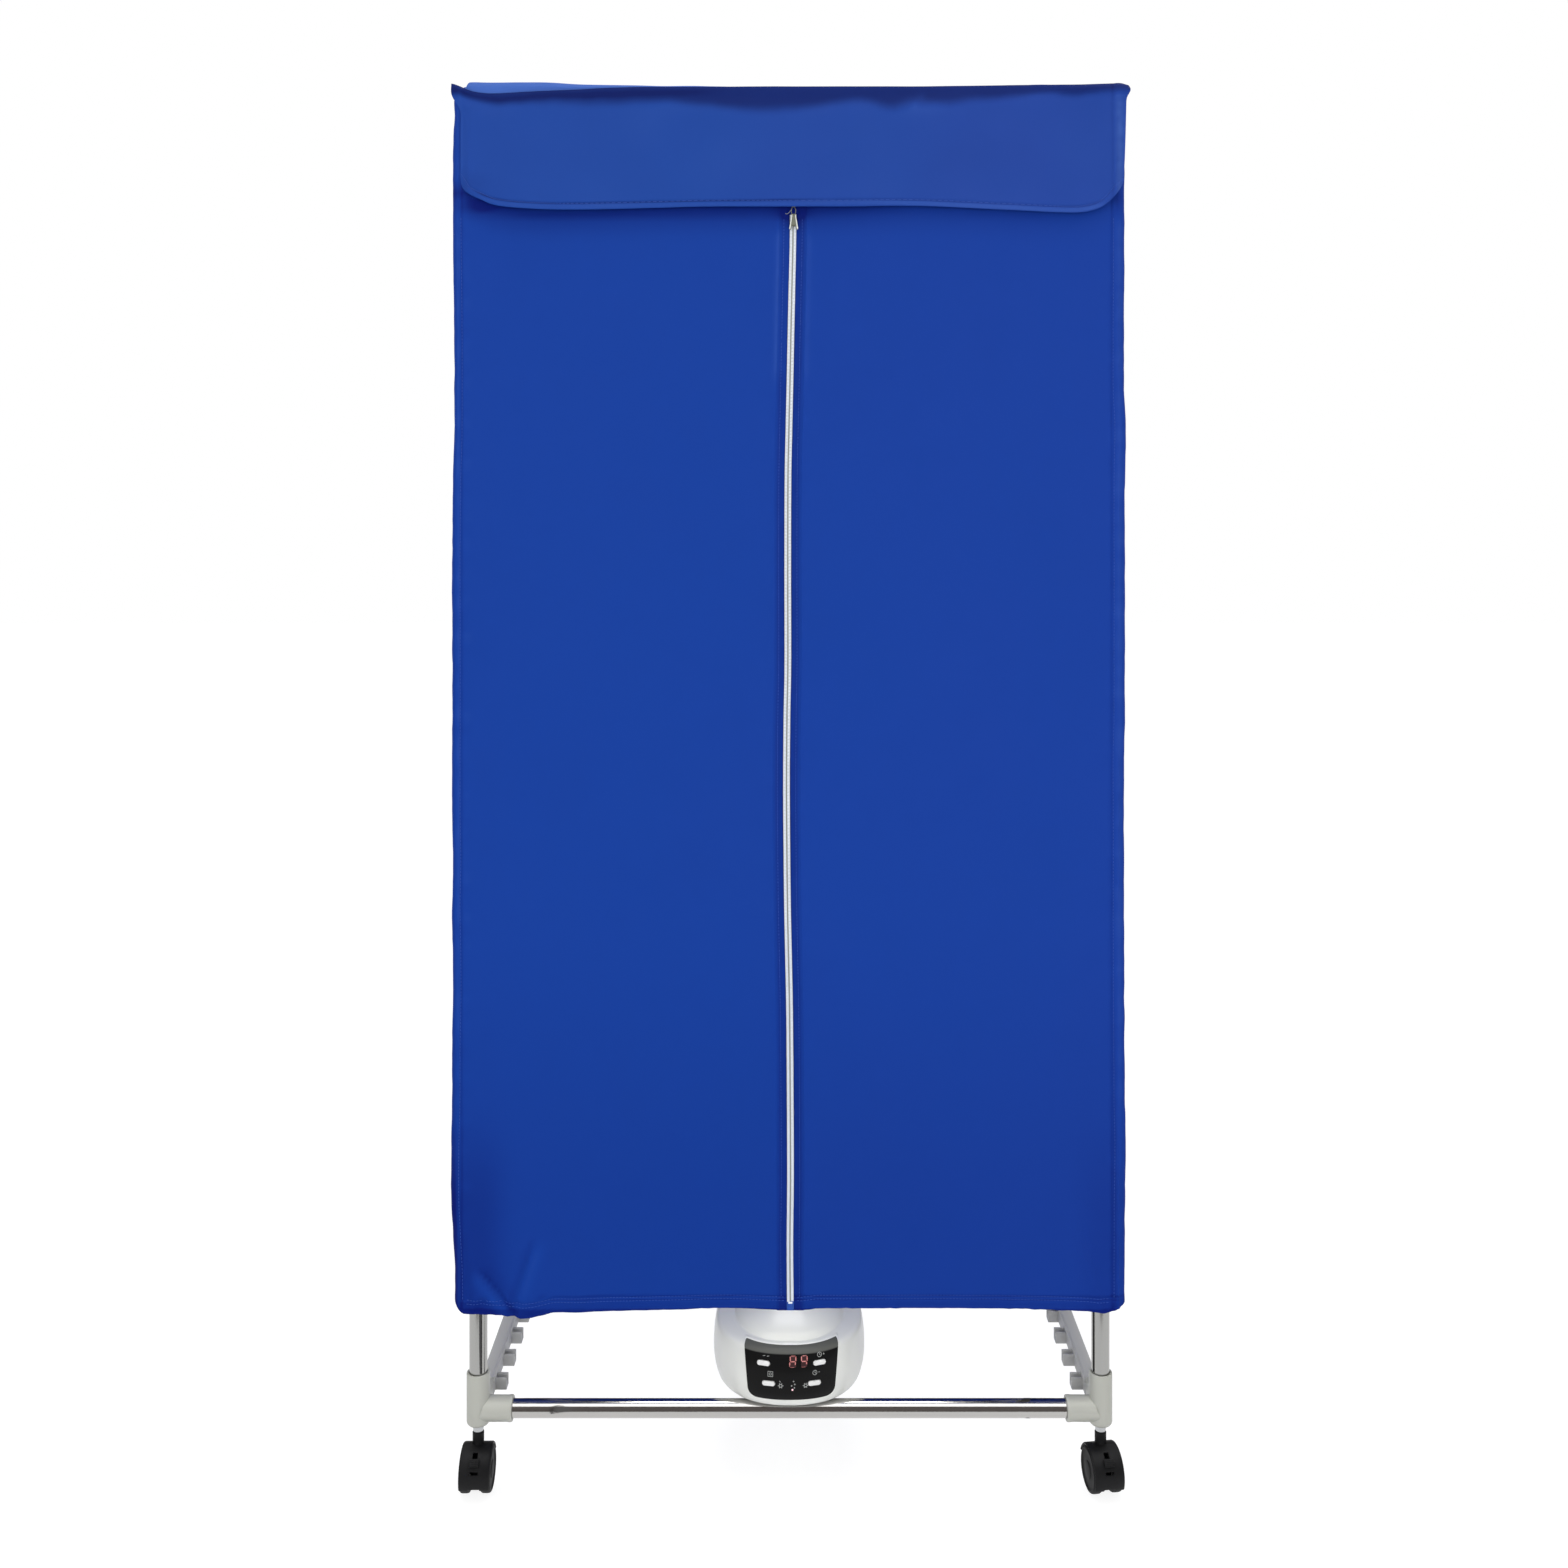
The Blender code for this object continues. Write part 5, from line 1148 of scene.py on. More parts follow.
def front_corner_drop(x, y, z):
    """How far the left front corner of the top falls away beside its post."""
    return 7.5 * smooth((-336 - x) / 6) * smooth((-y - 218) / 14) * smooth((z - 1462) / 16)


# How far inside the top's edge each ring of the top lies
RINGS = (0.0, 0.35, 0.9, 1.8, 3.2, 5.5, 9, 14, 21, 30, 42, 58, 80, 108, 140, 172, 204, 226)


def cover_place(points, levels):
    """Where each point of the cover lies: the walls by height, then the rings of the top."""
    def place(column, row):
        x, y, out_x, out_y, face = points[column]
        level = levels[min(row, len(levels) - 1)]
        if face == "front":
            # Beside the zip the two edges follow it, and above it they meet
            closing = 3.3 * smooth((level - 1456) / 9) * smooth((24 - abs(x)) / 20)
            x += zip_line(level) * smooth((74 - abs(x)) / 58) - math.copysign(closing, x)
        if row < len(levels):
            z = levels[row]
            above = z - HEM
            if face == "front":
                push = front_relief(x, z)
            elif face == "side":
                push = side_relief(y, z, 1.0 if x > 0 else 2.6)
            elif face == "back":
                push = side_relief(y=x * 0.65, z=z, seed=4.2)
            else:
                push = 0.5 * drift(x, z, 15, 4.0) + 0.5 * drift(0, z, 46, 10.0 if x > 0 else 11.6)
            x += bulge(x, y, z)
            z -= front_corner_drop(x, y, z)
            if y < -COVER_Y + 9:
                hang = curve(HEM_LINE, x) + 0.7 * drift(x, 0, 9, 61)
                z += hang * max(0.0, 1 - above / 115) ** 1.5
            return Vector((x + out_x * push, y + out_y * push, z)) * MM
        inset = RINGS[row - len(levels)]
        push = front_relief(x, levels[-1]) * max(0.0, 1 - inset / 12) if face == "front" else 0.0
        reach_x, reach_y = max(COVER_X - inset, 0.01), max(COVER_Y - inset, 0.01)
        x = x * reach_x / COVER_X + out_x * push
        y = y * reach_y / COVER_Y + out_y * push
        top = top_height(x, y)
        start = levels[-1]
        z = start + (top - start) * math.sin(min((inset + 1.2) / 7.2, 1) * math.pi / 2)
        z -= front_corner_drop(x, y, z)
        x += bulge(x, y, start) * max(0.0, 1 - inset / 40)
        return Vector((x, y, z)) * MM

    return place, len(levels) + len(RINGS)


def cover_shape():
    points, levels = cover_outline(), cover_levels()
    place, rows = cover_place(points, levels)
    columns = len(points)
    shape = laid(columns - 1, rows - 1,
                 lambda u, v: place(round(u * (columns - 1)), round(v * (rows - 1))))
    # Above the zip the two edges meet, and the middle of the top is filled
    closed = [vert for vert in shape.verts if vert.co.z > 1464 * MM and abs(vert.co.x) < 12 * MM
              and vert.co.y < 0]
    bmesh.ops.remove_doubles(shape, verts=closed, dist=0.05 * MM)
    rim = [edge for edge in shape.edges if edge.is_boundary
           and all(vert.co.z > 1470 * MM and abs(vert.co.y) < 20 * MM for vert in edge.verts)]
    if rim:
        bmesh.ops.holes_fill(shape, edges=rim)
    bmesh.ops.recalc_face_normals(shape, faces=shape.faces)
    return shape


# The flap's outline in millimetres: x and height at its lower edge, and x at the seam above
FLAP_EDGE = ((-344.2, 1383.1, -353.9), (-342.8, 1376.0, -351), (-338.5, 1369.6, -346), (-331.5, 1364.9, -338),
             (-322, 1360.6, -330), (-311.4, 1355.9, -318), (-300, 1353.4, -304), (-281.1, 1351.4, -283),
             (-260.3, 1350.2, -261), (-239.4, 1349.8, -239.4), (-197.7, 1350.2, -197.7), (-145.6, 1351.8, -145.6),
             (-93.4, 1353.2, -93.4), (-41.3, 1353.3, -41.3), (0.4, 1353.0, 0.4), (62.9, 1353.0, 62.9),
             (115.1, 1354.0, 115.1), (167.2, 1352.9, 167.2), (219.4, 1350.2, 219.4), (271.5, 1347.6, 272),
             (297.6, 1346.8, 299), (312, 1348.2, 316), (325, 1352.6, 329), (335.6, 1360.8, 339),
             (344.2, 1371.2, 347.5), (349.8, 1381.2, 352.8))
SEAM_LINE = ((-354, 1483.2), (-351.5, 1482.8), (-347, 1481.2), (-342.5, 1479.2), (-337, 1476.8), (-331, 1475.0),
             (-318, 1473.4), (-306, 1473.2), (-283, 1474.2), (-260, 1475.2), (-219, 1476.8), (-198, 1478.0),
             (-156, 1479.4), (-114, 1480.2), (-73, 1480.6), (-31, 1480.9), (30, 1480.9), (115, 1480.8),
             (167, 1481.2), (240, 1481.6), (299, 1481.8), (339, 1483.0), (347, 1483.0), (352.5, 1481.4))
# Across, and the depths in millimetres under the top edge where its shadow is full and where it ends
SHADE_LINE = ((-345, 10, 13), (-331, 13, 17), (-310, 17.5, 24), (-289, 16, 23), (-247, 13, 24), (-206, 14, 26),
              (-185, 15.5, 25), (-143, 15, 22), (-122, 15, 21.5), (-102, 17, 24.5), (-81, 18, 26), (-60, 21, 29.5),
              (-39, 21.5, 32.5), (-18, 21, 33), (2, 20, 31), (23, 19, 28), (44, 16, 25), (65, 12.5, 22),
              (86, 14.5, 24), (107, 19, 31), (128, 11.5, 27), (148, 15, 23.5), (169, 15, 25), (190, 12, 21),
              (211, 12, 19.5), (232, 10, 17.5), (253, 8.5, 13), (274, 8, 12), (295, 9.5, 15), (315, 8.5, 12.5),
              (340, 6, 10), (352, 5, 9))


def along_table(table, share):
    """A soft curve through the entries of a table, at a share of its length."""
    place = min(max(share, 0.0), 1.0) * (len(table) - 1)
    index = min(int(place), len(table) - 2)
    part = place - index
    a, b, c, d = (Vector(table[min(max(step, 0), len(table) - 1)]) for step in range(index - 1, index + 3))
    return 0.5 * ((2 * b) + (c - a) * part + (2 * a - 5 * b + 4 * c - d) * part ** 2
                  + (3 * b - a - 3 * c + d) * part ** 3)


# The flap's columns, and its rows: their distances from the bound edge, then even steps up to the seam
FLAP_COLUMNS, FLAP_COUNT = 184, 51
FLAP_ROWS = (0, 0.3, 0.9, 1.8, 3.0, 4.2, 5.0, 5.5, 6.0, 6.7, 7.6, 9.0, 11.0)
BINDING_STITCH = FLAP_ROWS.index(6.7)


def flap_place(column, row):
    """Where a point of the flap lies: rows follow the bound edge, then run up to the seam."""
    share = column / FLAP_COLUMNS
    low_x, low_z, top_x = along_table(FLAP_EDGE, share)
    before, after = along_table(FLAP_EDGE, share - 0.004), along_table(FLAP_EDGE, share + 0.004)
    run = Vector((after.x - before.x, after.y - before.y)).normalized()
    # The bound edge ends at the two sides, which run straight up
    inward = Vector((-run.y, run.x)).lerp(Vector((0, 1)), 1 - smooth(min(share, 1 - share) / 0.07)).normalized()
    top = Vector((top_x, curve(SEAM_LINE, top_x)))
    edge = Vector((low_x, low_z))
    if row < len(FLAP_ROWS):
        x, z = edge + inward * FLAP_ROWS[row]
    else:
        start = edge + inward * FLAP_ROWS[-1]
        part = ((row - len(FLAP_ROWS) + 1) / (FLAP_COUNT - len(FLAP_ROWS))) ** 0.92
        # The left side hangs straight from its tip, and the right side keeps to the corner
        z = start.y + (top.y - start.y) * part
        late, even = smooth((z - 1452) / 22), part ** (0.6 if top.x > 0 else 1)
        x = start.x + (top.x - start.x) * (even + (late - even) * smooth((-300 - top.x) / 40))
    down = min(max((top.y - z) / 130, 0), 1)
    # The flap hangs clear of the cover and leans out towards its lower edge
    out = 1.3 + 5.2 * down ** 0.8 + 1.3 * down * math.sin(x / 49 + 0.6) + 0.9 * drift(x, z * 0.6, 70, 21)
    out += 0.35 * drift(x, z, 22, 23) + 0.9 * bell(down, 0.12, 0.10) * smooth((x + 100) / 90)
    from_edge = FLAP_ROWS[row] if row < len(FLAP_ROWS) else 99
    out += 0.75 * smooth((5.9 - from_edge) / 0.9) - 0.55 * bell(from_edge, 6.6, 0.7)
    out -= 0.6 * smooth((0.9 - from_edge) / 0.9)
    # The hollow under the seam, and the doubled edge at the right
    deep = 3.0 * smooth((x + 170) / 110) * smooth((300 - x) / 170) + 1.8 * bell(x, -318, 34)
    reach = 22 + 9 * bell(x, -5, 75) - 8 * smooth((x - 60) / 200)
    out -= deep * smooth(1.25 - (top.y - z) / reach)
    out += 0.7 * smooth((x - 338) / 2) + 0.5 * smooth((x - 336) / 3) * drift(x, z, 9, 25)
    out += 1.0 * bell(x, 133, 5) * bell(z, 1462, 9)
    side = min(x - low_side(z), high_side(z) - x)
    out = max(out * (0.12 + 0.88 * smooth((side + 1) / 12)), 0.15 - 3.4 * smooth((z - 1466) / 10) * smooth(side / 9))
    # The seam's rolled edge, thick at its two ends
    roll = bell(z, 1476.2, 5.4)
    out += roll * (0.5 + 2.6 * smooth((x - 250) / 70) + 1.6 * smooth((-322 - x) / 24))
    x += 3.6 * roll * smooth((x - 338) / 12)
    return Vector((x, -COVER_Y - 1.7 - out, z)) * MM


def low_side(z):
    """The flap's left edge at a height."""
    return -344.5 - 9.5 * smooth((z - 1452) / 22)


def high_side(z):
    """The flap's right edge at a height."""
    return 350.0 + 2.5 * smooth((z - 1440) / 42)


def flap_shape():
    rows = FLAP_COUNT - 1
    return laid(FLAP_COLUMNS, rows, lambda u, v: flap_place(round(u * FLAP_COLUMNS), round(v * rows)))


def toned(shape, tone):
    """Note how far each point of the cloth turns darker, below 0, or paler, above 0: painted shade and painted
    highlights, with some random mottling.
    """
    layer = shape.verts.layers.float.new("tone")
    for vert in shape.verts:
        vert[layer] = tone(*(vert.co / MM))
    return shape


# The lower edge of the flap, where its painted shadow falls, and the depth of the painted dark line under its seam
FLAP_SHADOW = ((-344, 1372), (-331, 1364), (-311, 1355.5), (-281, 1351), (-239, 1349.5), (-146, 1351.5), (-41, 1353),
               (115, 1354), (219, 1350), (298, 1346.5), (325, 1352), (336, 1361), (350, 1381))
SEAM_DEPTH = ((-352, 2), (-331, 9), (-306, 12), (-260, 9.5), (-198, 7), (-114, 4), (-31, 1.5))
# Darker spots in the flap's shadow: strength, place across, width, height and reach
SHADOW_SPOTS = ((0.75, 4, 15, 1349, 7), (0.6, 345, 6, 1362, 13), (0.7, -326, 18, 1354, 7))


def cover_tone(x, y, z):
    """The tone of the cover at a place, in millimetres, mostly painted shade and highlights: below 0 darker, above 0
    paler.
    """
    # Painted shade on the sides near their corners
    if y > -COVER_Y + 10:
        return -0.16 * smooth((abs(y) - 196) / 34) if abs(x) > 340 else 0.0
    # Painted shade along the doubled strips beside the zip, painted highlights where they pucker high up, and random
    # mottling
    off = x - zip_line(z)
    high = smooth((z - 1165) / 25) * smooth((1345 - z) / 12)
    tone = -0.46 * smooth((abs(off) - 2.6) / 1.2) * smooth((15.0 - abs(off)) / 5) * (1 - 0.45 * high * (off < 0))
    tone += high * (0.20 * bell(off, -15.6, 2.2) + 0.10 * bell(off, 17.0, 3.0))
    tone += 0.10 * drift(x, z, 5.0, 41) * bell(off, 0, 16)
    # The shadow under the flap
    under = curve(FLAP_SHADOW, x) - z
    depth = 0.80 - 0.42 * smooth((x - 30) / 120) - 0.26 * smooth((x - 230) / 90)
    tone -= depth * smooth((under + 8) / 6) * (0.55 * smooth((12 - under) / 10) + 0.45 * smooth((34 - under) / 30))
    for dark, across, width, height, reach in SHADOW_SPOTS:
        tone -= dark * bell(x, across, width) * bell(z, height, reach)
    # Painted shade in the grooves of the two side seams and painted highlights on their ridges, darker low on the
    # left edge, with random mottling near the edges
    tone += 0.10 * bell(x, -347.5, 2.6) - 0.30 * bell(x, -343.3, 1.4)
    tone -= 0.42 * smooth((-346 - x) / 4) * smooth((420 - z) / 120) + 0.12 * smooth((-347.5 - x) / 3)
    tone += 0.13 * bell(x, 346, 3.6) - 0.26 * bell(x, 337.4, 1.3)
    tone -= 0.24 * bell(x, 340.6, 2.2) * smooth((600 - z) / 200)
    tone += 0.10 * drift(x * 0.5, z, 14, 43) * smooth((abs(x) - 330) / 8)
    # Painted highlights and shade along the first two creases, and painted shade over the lower left and lower right
    # of the front
    first, second = (beside(x, z, *CREASES[index][:2]) for index in (0, 1))
    tone += first[1] * (0.26 * bell(first[0], 7, 6) - 0.32 * bell(first[0], -0.8, 2.6) - 0.12 * bell(first[0], -9, 7))
    tone += second[1] * (0.20 * bell(second[0], -7, 7) - 0.17 * bell(second[0], 3, 4))
    left = 0.34 * smooth((-284 - x) / 40) * (1 - 0.5 * first[1] * bell(first[0], 10, 9))
    tone -= smooth((430 - z) / 130) * (left + 0.15 * smooth((x - 290) / 40))
    # Painted shade in the hem's two rows of stitches and under its lower edge, and painted shade over the lower part
    # of the cloth
    row = bell(z, HEM_ROWS[0], 1.0) + bell(z, HEM_ROWS[1], 0.8)
    tone -= 0.62 * row * smooth((x + 285) / 60) * (0.75 + 0.5 * drift(x, 0, 50, 44))
    tone -= 0.20 * smooth((209 - z) / 2) + 0.45 * smooth((201.6 - z) / 1.6)
    tone -= 0.16 * smooth((640 - z) / 400)
    # Painted highlight: the pale strip of the top that shows above the seam at the left
    return tone + 1.5 * smooth((z - 1468) / 6) * smooth((-60 - x) / 70) * smooth((x + 349) / 8)


def flap_tone(x, y, z):
    """The same for the flap: painted shade and highlights, and slight random mottling."""
    # Painted shade in the band under the seam, a thin painted dark line in it at the left, and a painted highlight on
    # the small fold at the right
    full, end = (curve([(entry[0], entry[side]) for entry in SHADE_LINE], x) for side in (1, 2))
    depth = 1482 - z + 1.2 * drift(x, 0, 17, 51)
    tone = -0.86 * smooth((end + 2 - depth) / max(end - full + 5, 5))
    tone -= 0.22 * bell(depth - curve(SEAM_DEPTH, x), 4, 3.5) * smooth((-60 - x) / 60)
    tone += 0.34 * bell(x - 0.5 * (z - 1462), 133, 2.4) * bell(z, 1464, 7)
    tone += 0.10 * bell(x, 133, 26) * bell(z, 1456, 8)
    # Painted highlight on the bound edge and painted shade in its row of stitches, then painted highlights and shade
    # at the two sides
    edge = z - curve(FLAP_SHADOW, x)
    inside = 1 - smooth((abs(x) - 318) / 14)
    bound = smooth((5.6 - edge) / 1.2) * smooth((edge - 0.4) / 1.0)
    tone += (0.10 + 0.16 * smooth((x - 40) / 120)) * bound * inside
    tone -= (0.66 - 0.4 * smooth((x + 20) / 60)) * bell(edge, 6.9, 0.9) * inside
    tone += 0.50 * bell(x, 345.5, 4.6) * smooth((1474 - z) / 6) * (0.85 + 0.5 * drift(x, z, 7, 52))
    tone -= 0.16 * bell(x, 337, 1.6)
    tone -= 0.16 * bell(x, -336, 20) * bell(z, 1377, 12) - 0.10 * bell(x, -345, 2.6)
    return tone + 0.05 * drift(x, z, 60, 53)


def thickened(item, thickness):
    """Give a sheet its thickness on its inner side, and settle it into its mesh."""
    wall = item.modifiers.new("wall", "SOLIDIFY")
    wall.thickness, wall.offset, wall.use_even_offset, wall.use_quality_normals = thickness, -1, False, True
    bpy.context.view_layer.update()
    finished = item.evaluated_get(bpy.context.evaluated_depsgraph_get())
    mesh = bpy.data.meshes.new_from_object(finished)
    item.modifiers.clear()
    old = item.data
    item.data = mesh
    bpy.data.meshes.remove(old)
    mesh.name = item.name
    return item


def facing_out(shape, outward):
    """Turn all faces so that a sample faces outwards."""
    total = sum((face.normal.dot(outward(face.calc_center_median())) * face.calc_area() for face in shape.faces))
    if total < 0:
        bmesh.ops.reverse_faces(shape, faces=shape.faces)
    return shape


# The cloth's weave and thicknesses, and the colour of its painted highlights
WEAVE, COVER_THICK, FLAP_THICK = 1.3 * MM, 1.1 * MM, 1.0 * MM
PAINTED_HIGHLIGHT_BLUE = (0.0560, 0.1350, 0.4800)


def to_front(centre):
    """The way out of a cloth on the front."""
    return Vector((0, -1, 0))


def fabric_finish(name, colour, warm, shade):
    """Coated polyester: a fine plain weave and soft mottling, with painted shade and painted highlights where its
    tone says.
    """
    cloth = Finish(name, colour, Sheen_Weight=0.01, Sheen_Roughness=0.45, Specular_IOR_Level=0.04)
    x, y, z = cloth.axes()
    weave = ((x + y) * (math.tau / WEAVE)).wave() * (z * (math.tau / WEAVE)).wave()
    broad = cloth.noise(5.0, 3.0, 0.55, (1.0, 1.0, 0.55))
    patch = cloth.noise(26.0, 3.0, 0.6)
    tone = Value(cloth, cloth.node("ShaderNodeAttribute", {"attribute_name": "tone"}).outputs["Fac"])
    base = cloth.blend(((x + 0.10) * 1.6 + (broad - 0.5)).held(), colour, warm)
    mottle = ((broad - 0.5) * 0.5 + (patch - 0.5) * 0.22 + weave * 0.03).size()
    base = cloth.blend(mottle.held(), base, tuple(0.84 * part for part in colour))
    # Painted shade where the tone is below 0, painted highlights where it is above 0
    base = cloth.blend((0.0 - tone).held(), base, shade)
    cloth.colour(cloth.blend(tone.held(), base, PAINTED_HIGHLIGHT_BLUE))
    cloth.rough(0.62 + (patch - 0.5) * 0.16 + weave * 0.02)
    cloth.bump(weave * 0.6 + cloth.noise(900, 2) * 0.5, 0.05 * MM, 0.35)
    return cloth


FABRIC = fabric_finish("cover_cloth", (0.0068, 0.0450, 0.3050), (0.0088, 0.0438, 0.3050), (0.0020, 0.0095, 0.1450))
FLAP_FABRIC = fabric_finish("flap_cloth", (0.0135, 0.0580, 0.3100), (0.0195, 0.0540, 0.3060),
                            (0.0034, 0.0120, 0.1080))
# The stitches in millimetres: the pitches of hem and side rows, the part of a pitch that shows, and where
# the upright rows start and end
HEM_PITCH, SIDE_PITCH, HEM_SHARE, SHARE, ROW_FOOT, ROW_HEAD = 3.4, 3.6, 0.62, 0.6, 214, 1344
BINDING_STITCHES = 215
THREAD = moulded_finish("sewing_thread", (0.030, 0.085, 0.400), 0.6, 2500.0, 0.03, 0.12, Specular_IOR_Level=0.2)
NYLON = moulded_finish("zip_coil", (0.80, 0.85, 0.93), 0.42, 1500.0, 0.02, 0.03)
TAPE = moulded_finish("zip_tape", (0.25, 0.26, 0.24), 0.7, 1800.0, 0.05, 0.06)
PULL = moulded_finish("pull_dull_brass", (0.115, 0.120, 0.088), 0.40, 500.0, 0.02, 0.12, Metallic=0.3)
SLIDER_RIM = moulded_finish("slider_bright_rim", (0.62, 0.64, 0.60), 0.30, 500.0, 0.02, 0.08, Metallic=0.2)


def add_cover():
    """The cover and its flap, each one sheet of cloth."""
    shape = facing_out(cover_shape(), lambda centre: Vector((centre.x, centre.y, max(centre.z - 1.3, 0) * 3)))
    shape = toned(shape, cover_tone)
    cover = thickened(piece("cover_cloth", shape, FABRIC, "frame", "cover", 60), COVER_THICK)
    shape = toned(facing_out(flap_shape(), to_front), flap_tone)
    flap = thickened(piece("cover_flap_cloth", shape, FLAP_FABRIC, None, "cover_flap", 60), FLAP_THICK)
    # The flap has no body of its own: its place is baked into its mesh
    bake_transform(flap)
    return cover


def stitch(start, end, thickness=0.34):
    """One stitch: a short thread between two points, in millimetres."""
    a, b = Vector(start) * MM, Vector(end) * MM
    shape = bmesh.new()
    reach = (b - a).length
    bmesh.ops.create_cube(shape, size=1.0, matrix=along(a, b) @ Matrix.Translation((0, 0, reach / 2))
                          @ Matrix.Diagonal((thickness * MM, thickness * MM, reach, 1)))
    return shape


def on_front(x, z):
    """The cover's front surface at a place, in millimetres."""
    hang = curve(HEM_LINE, x) * max(0.0, 1 - (z - HEM) / 115) ** 1.5
    return Vector((x + bulge(x, -COVER_Y, z), -COVER_Y - front_relief(x, z) - 0.12, z + hang))


def add_stitches():
    """The rows of stitches on the cover, and the one along the flap's bound edge."""
    seams, flap_seam = [], []

    def sew(place, low, high, pitch, share, into):
        spot = low
        while spot + pitch * share < high:
            into.append(stitch(place(spot), place(spot + pitch * share)))
            spot += pitch

    # The hem on both sides of the zip, the strips beside the zip, and the side seams
    for height in HEM_ROWS:
        for low, high in ((-338, -6), (8, 336)):
            sew(lambda x: on_front(x, height), low, high, HEM_PITCH, HEM_SHARE, seams)
    for off in (-9.6, 9.6):
        sew(lambda z: on_front(zip_line(z) + off, z), ROW_FOOT, ROW_HEAD, HEM_PITCH, SHARE, seams)
    for x in (338.9, -342.2):
        sew(lambda z: on_front(x, z), ROW_FOOT, ROW_HEAD, SIDE_PITCH, SHARE, seams)
    sew(lambda column: flap_place(column, BINDING_STITCH) / MM + Vector((0, -0.1, 0)), 1, FLAP_COLUMNS - 1,
        FLAP_COLUMNS / BINDING_STITCHES, SHARE, flap_seam)
    piece("cover_stitches", together(*seams), THREAD, "frame")
    piece("flap_stitches", together(*flap_seam), THREAD, "flap")


# The zip in millimetres: where its coil starts and ends, and the pitch and place across of its turns
ZIP_LOW, ZIP_HIGH, COIL_PITCH, COIL_PLACE = 208.6, 1462.0, 1.5, 2.05
# Each tape: its two edges from the zip's middle, how far it lies behind the front, and its thickness
TAPES = ((0.25, 3.6, 0.75, 1.0), (3.7, 13.0, 1.75, 0.5))


def zip_strip(side, inner, outer, behind, thick, foot=199.4):
    """A flat strip that follows the zip, from its foot to the top."""
    corners = ((inner, -1), (outer, -1), (outer, 1), (inner, 1), (inner, -1))

    def place(u, v):
        z = foot + (ZIP_HIGH - foot) * v
        off, face = corners[round(u * 4)]
        return Vector((zip_line(z) + side * off, behind - COVER_Y + face * thick / 2, z)) * MM

    return laid(4, 180, place, wrapped=True)


def add_patch(name, grid, place, tone, thickness):
    """A small cloth on the cover's front, in one tone, whose place is in millimetres."""
    shape = facing_out(laid(*grid, lambda u, v: Vector(place(u, v)) * MM), to_front)
    shape = toned(shape, lambda x, y, z: tone)
    return thickened(piece(name, shape, FABRIC, "frame", angle=60), thickness * MM)


def add_zip():
    """Two rows of coil between their tapes, sewn down under the hem."""
    coils = []
    for side in (-1, 1):
        z = ZIP_LOW + (COIL_PITCH / 2 if side > 0 else 0)
        while z < ZIP_HIGH:
            tooth = block(*in_mm(((-1.3, -0.75, -0.52), (1.3, 0.75, 0.52))))
            place = Vector((zip_line(z) + side * COIL_PLACE, -COVER_Y - 0.15, z)) * MM
            coils.append(moved(tooth, Matrix.Translation(place) @ Matrix.Rotation(0.10 * side, 4, "Y")))
            z += COIL_PITCH
    x = zip_line(ZIP_LOW)
    coils.append(cushion((x - 2.2, -COVER_Y - 1.3, ZIP_LOW - 2.6), (x + 2.2, -COVER_Y + 0.4, ZIP_LOW - 0.6), 0.4))
    ribbon = [zip_strip(side, *tape) for tape in TAPES for side in (-1, 1)]
    core = zip_strip(1, -0.8, 0.8, 0.1, 0.6, ZIP_LOW)
    foot = add_patch("zip_end", (1, 8), lambda u, v: (zip_line(204) + 7.6 * u - 3.8, -COVER_Y - 0.9 + 0.6 * v,
                                                      HEM - 0.9 + 9.4 * v), 0.5, 0.6)
    # A cloth patch above the slider, its colour all painted shade
    hood = add_patch("zip_top_shade_cloth", (8, 40),
                     lambda u, v: (zip_line(1400) + 13 * u - 6.5, -COVER_Y - 1.1 - 0.5 * math.sin(math.pi * u),
                                   1346.5 + 116 * v), -1.3, 0.5)
    piece("zip_coil", together(*coils), NYLON, "frame", "zip_chain", 40)
    piece("zip_tape", together(*ribbon, core), TAPE, "frame", angle=50)
    return [foot, hood]


def cast(outline, low, high, place, width):
    """A flat casting with rounded edges, in millimetres."""
    return soften(prism(in_mm(outline), low * MM, high * MM, place), width * MM, 2, 40)


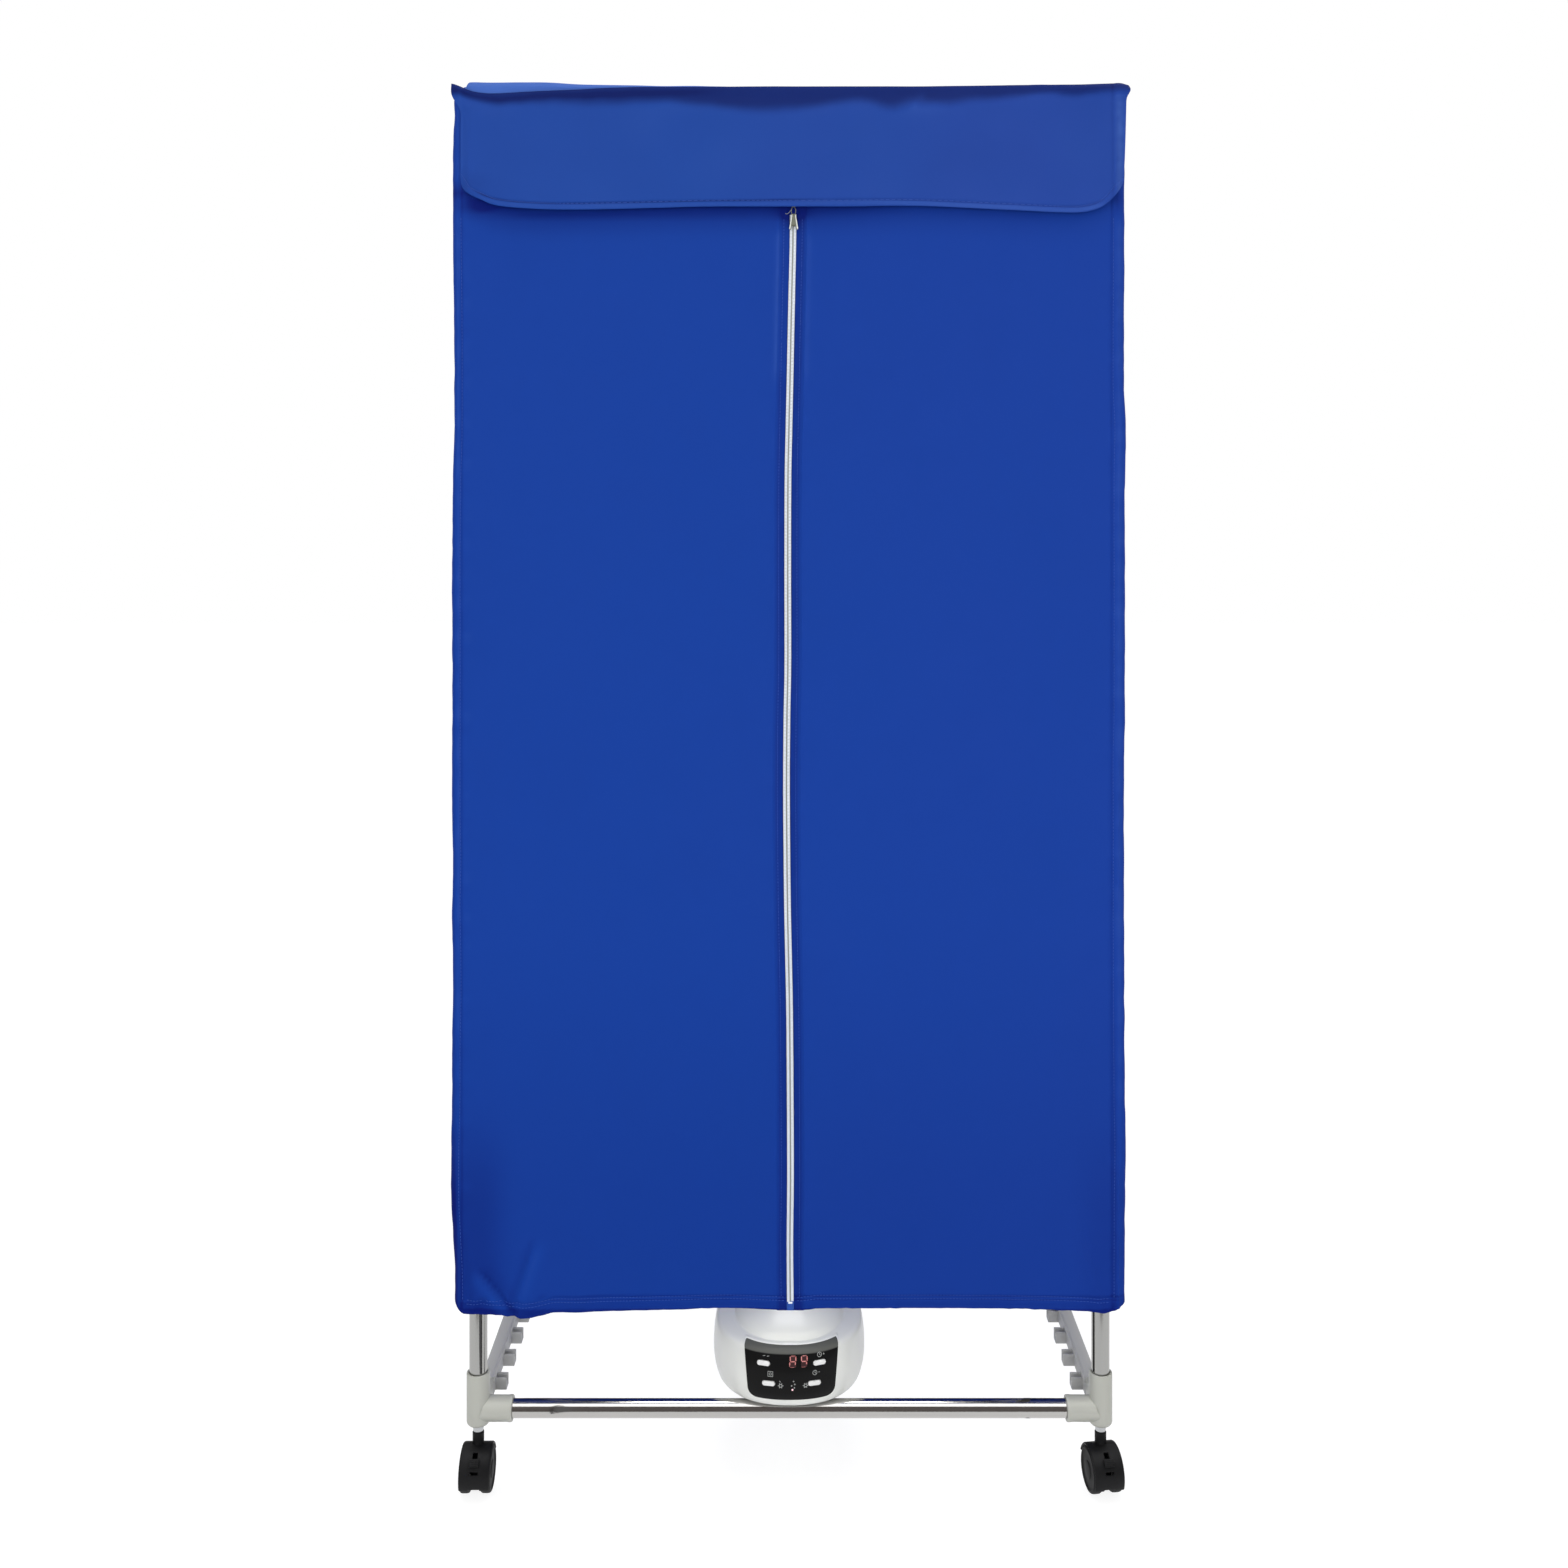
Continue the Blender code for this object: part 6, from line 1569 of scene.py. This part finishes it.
def add_slider():
    """The slider that closes the zip, and the ring and tab that pull it."""
    low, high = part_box("zip_slider")
    middle = Vector(((low.x + high.x) / 2 / MM + 2.7, low.y / MM, 1338.2))
    stand = Matrix.Translation(middle * MM) @ Matrix.Rotation(QUARTER, 4, "X")
    shield = [(-1.6, 8.2), (1.6, 8.2), (2.4, 7.0), (4.3, -4.0), (4.6, -7.4), (3.9, -8.3), (2.9, -8.1), (1.9, -4.6),
              (0.9, -3.0), (-0.9, -3.0), (-1.9, -4.6), (-2.9, -8.1), (-3.9, -8.3), (-4.6, -7.4), (-4.3, -4.0),
              (-2.4, 7.0)]
    rail = [(1.2, 7.6), (2.2, 7.2), (4.7, -7.2), (3.9, -8.2), (3.2, -6.6)]
    bridge = [(-1.5, 0.7), (-1.5, 1.9), (1.5, 1.9), (1.5, 0.7)]
    plate = cast(shield, -0.2, 0.9, stand, 0.25)
    rims = [cast([(side * x, z) for x, z in rail], 0.5, 1.8, stand, 0.3) for side in (-1, 1)]
    arch = cast(bridge, -4.4, 5.6, stand @ Matrix.Rotation(-QUARTER, 4, "X"), 0.4)
    piece("zip_slider_cast", together(plate, arch), PULL, "slider", "zip_slider")
    piece("zip_slider_rims", together(*rims), SLIDER_RIM, "slider")

    low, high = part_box("zip_pull")
    x, y = (low.x + high.x) / 2 / MM + 2.5, (low.y + high.y) / 2 / MM
    tab = [(-1.5, 0), (1.5, 0), (2.4, 2), (2.4, 13), (1.6, 15), (-1.6, 15), (-2.4, 13), (-2.4, 2)]
    place = Matrix.Translation(Vector((x, y, 1353.2)) * MM) @ Matrix.Rotation(QUARTER, 4, "X")
    leaf = cast(tab, -0.45, 0.45, place, 0.3)
    turns = [step * math.tau / 24 for step in range(24)]
    loop = [(x + 2.4 * math.cos(turn), 1349.4 + 4.3 * math.sin(turn)) for turn in turns]
    ring = [stitch((a, y - 0.1, b), (c, y - 0.1, d), 0.7) for (a, b), (c, d) in zip(loop, loop[1:] + loop[:1])]
    strand = [(-4.4, 1346.8), (-3.4, 1346.2), (-2.0, 1346.4), (-0.6, 1347.6), (0.8, 1349.4), (2.4, 1350.6)]
    wire = [stitch((a, y - 0.4, b), (c, y - 0.4, d), 0.4) for (a, b), (c, d) in zip(strand, strand[1:])]
    piece("pull_wire", together(*wire), TAPE, "slider")
    piece("zip_pull_cast", together(leaf, *ring), PULL, "slider", "zip_pull")


cloth = add_cover()
add_stitches()
add_zip()
add_slider()
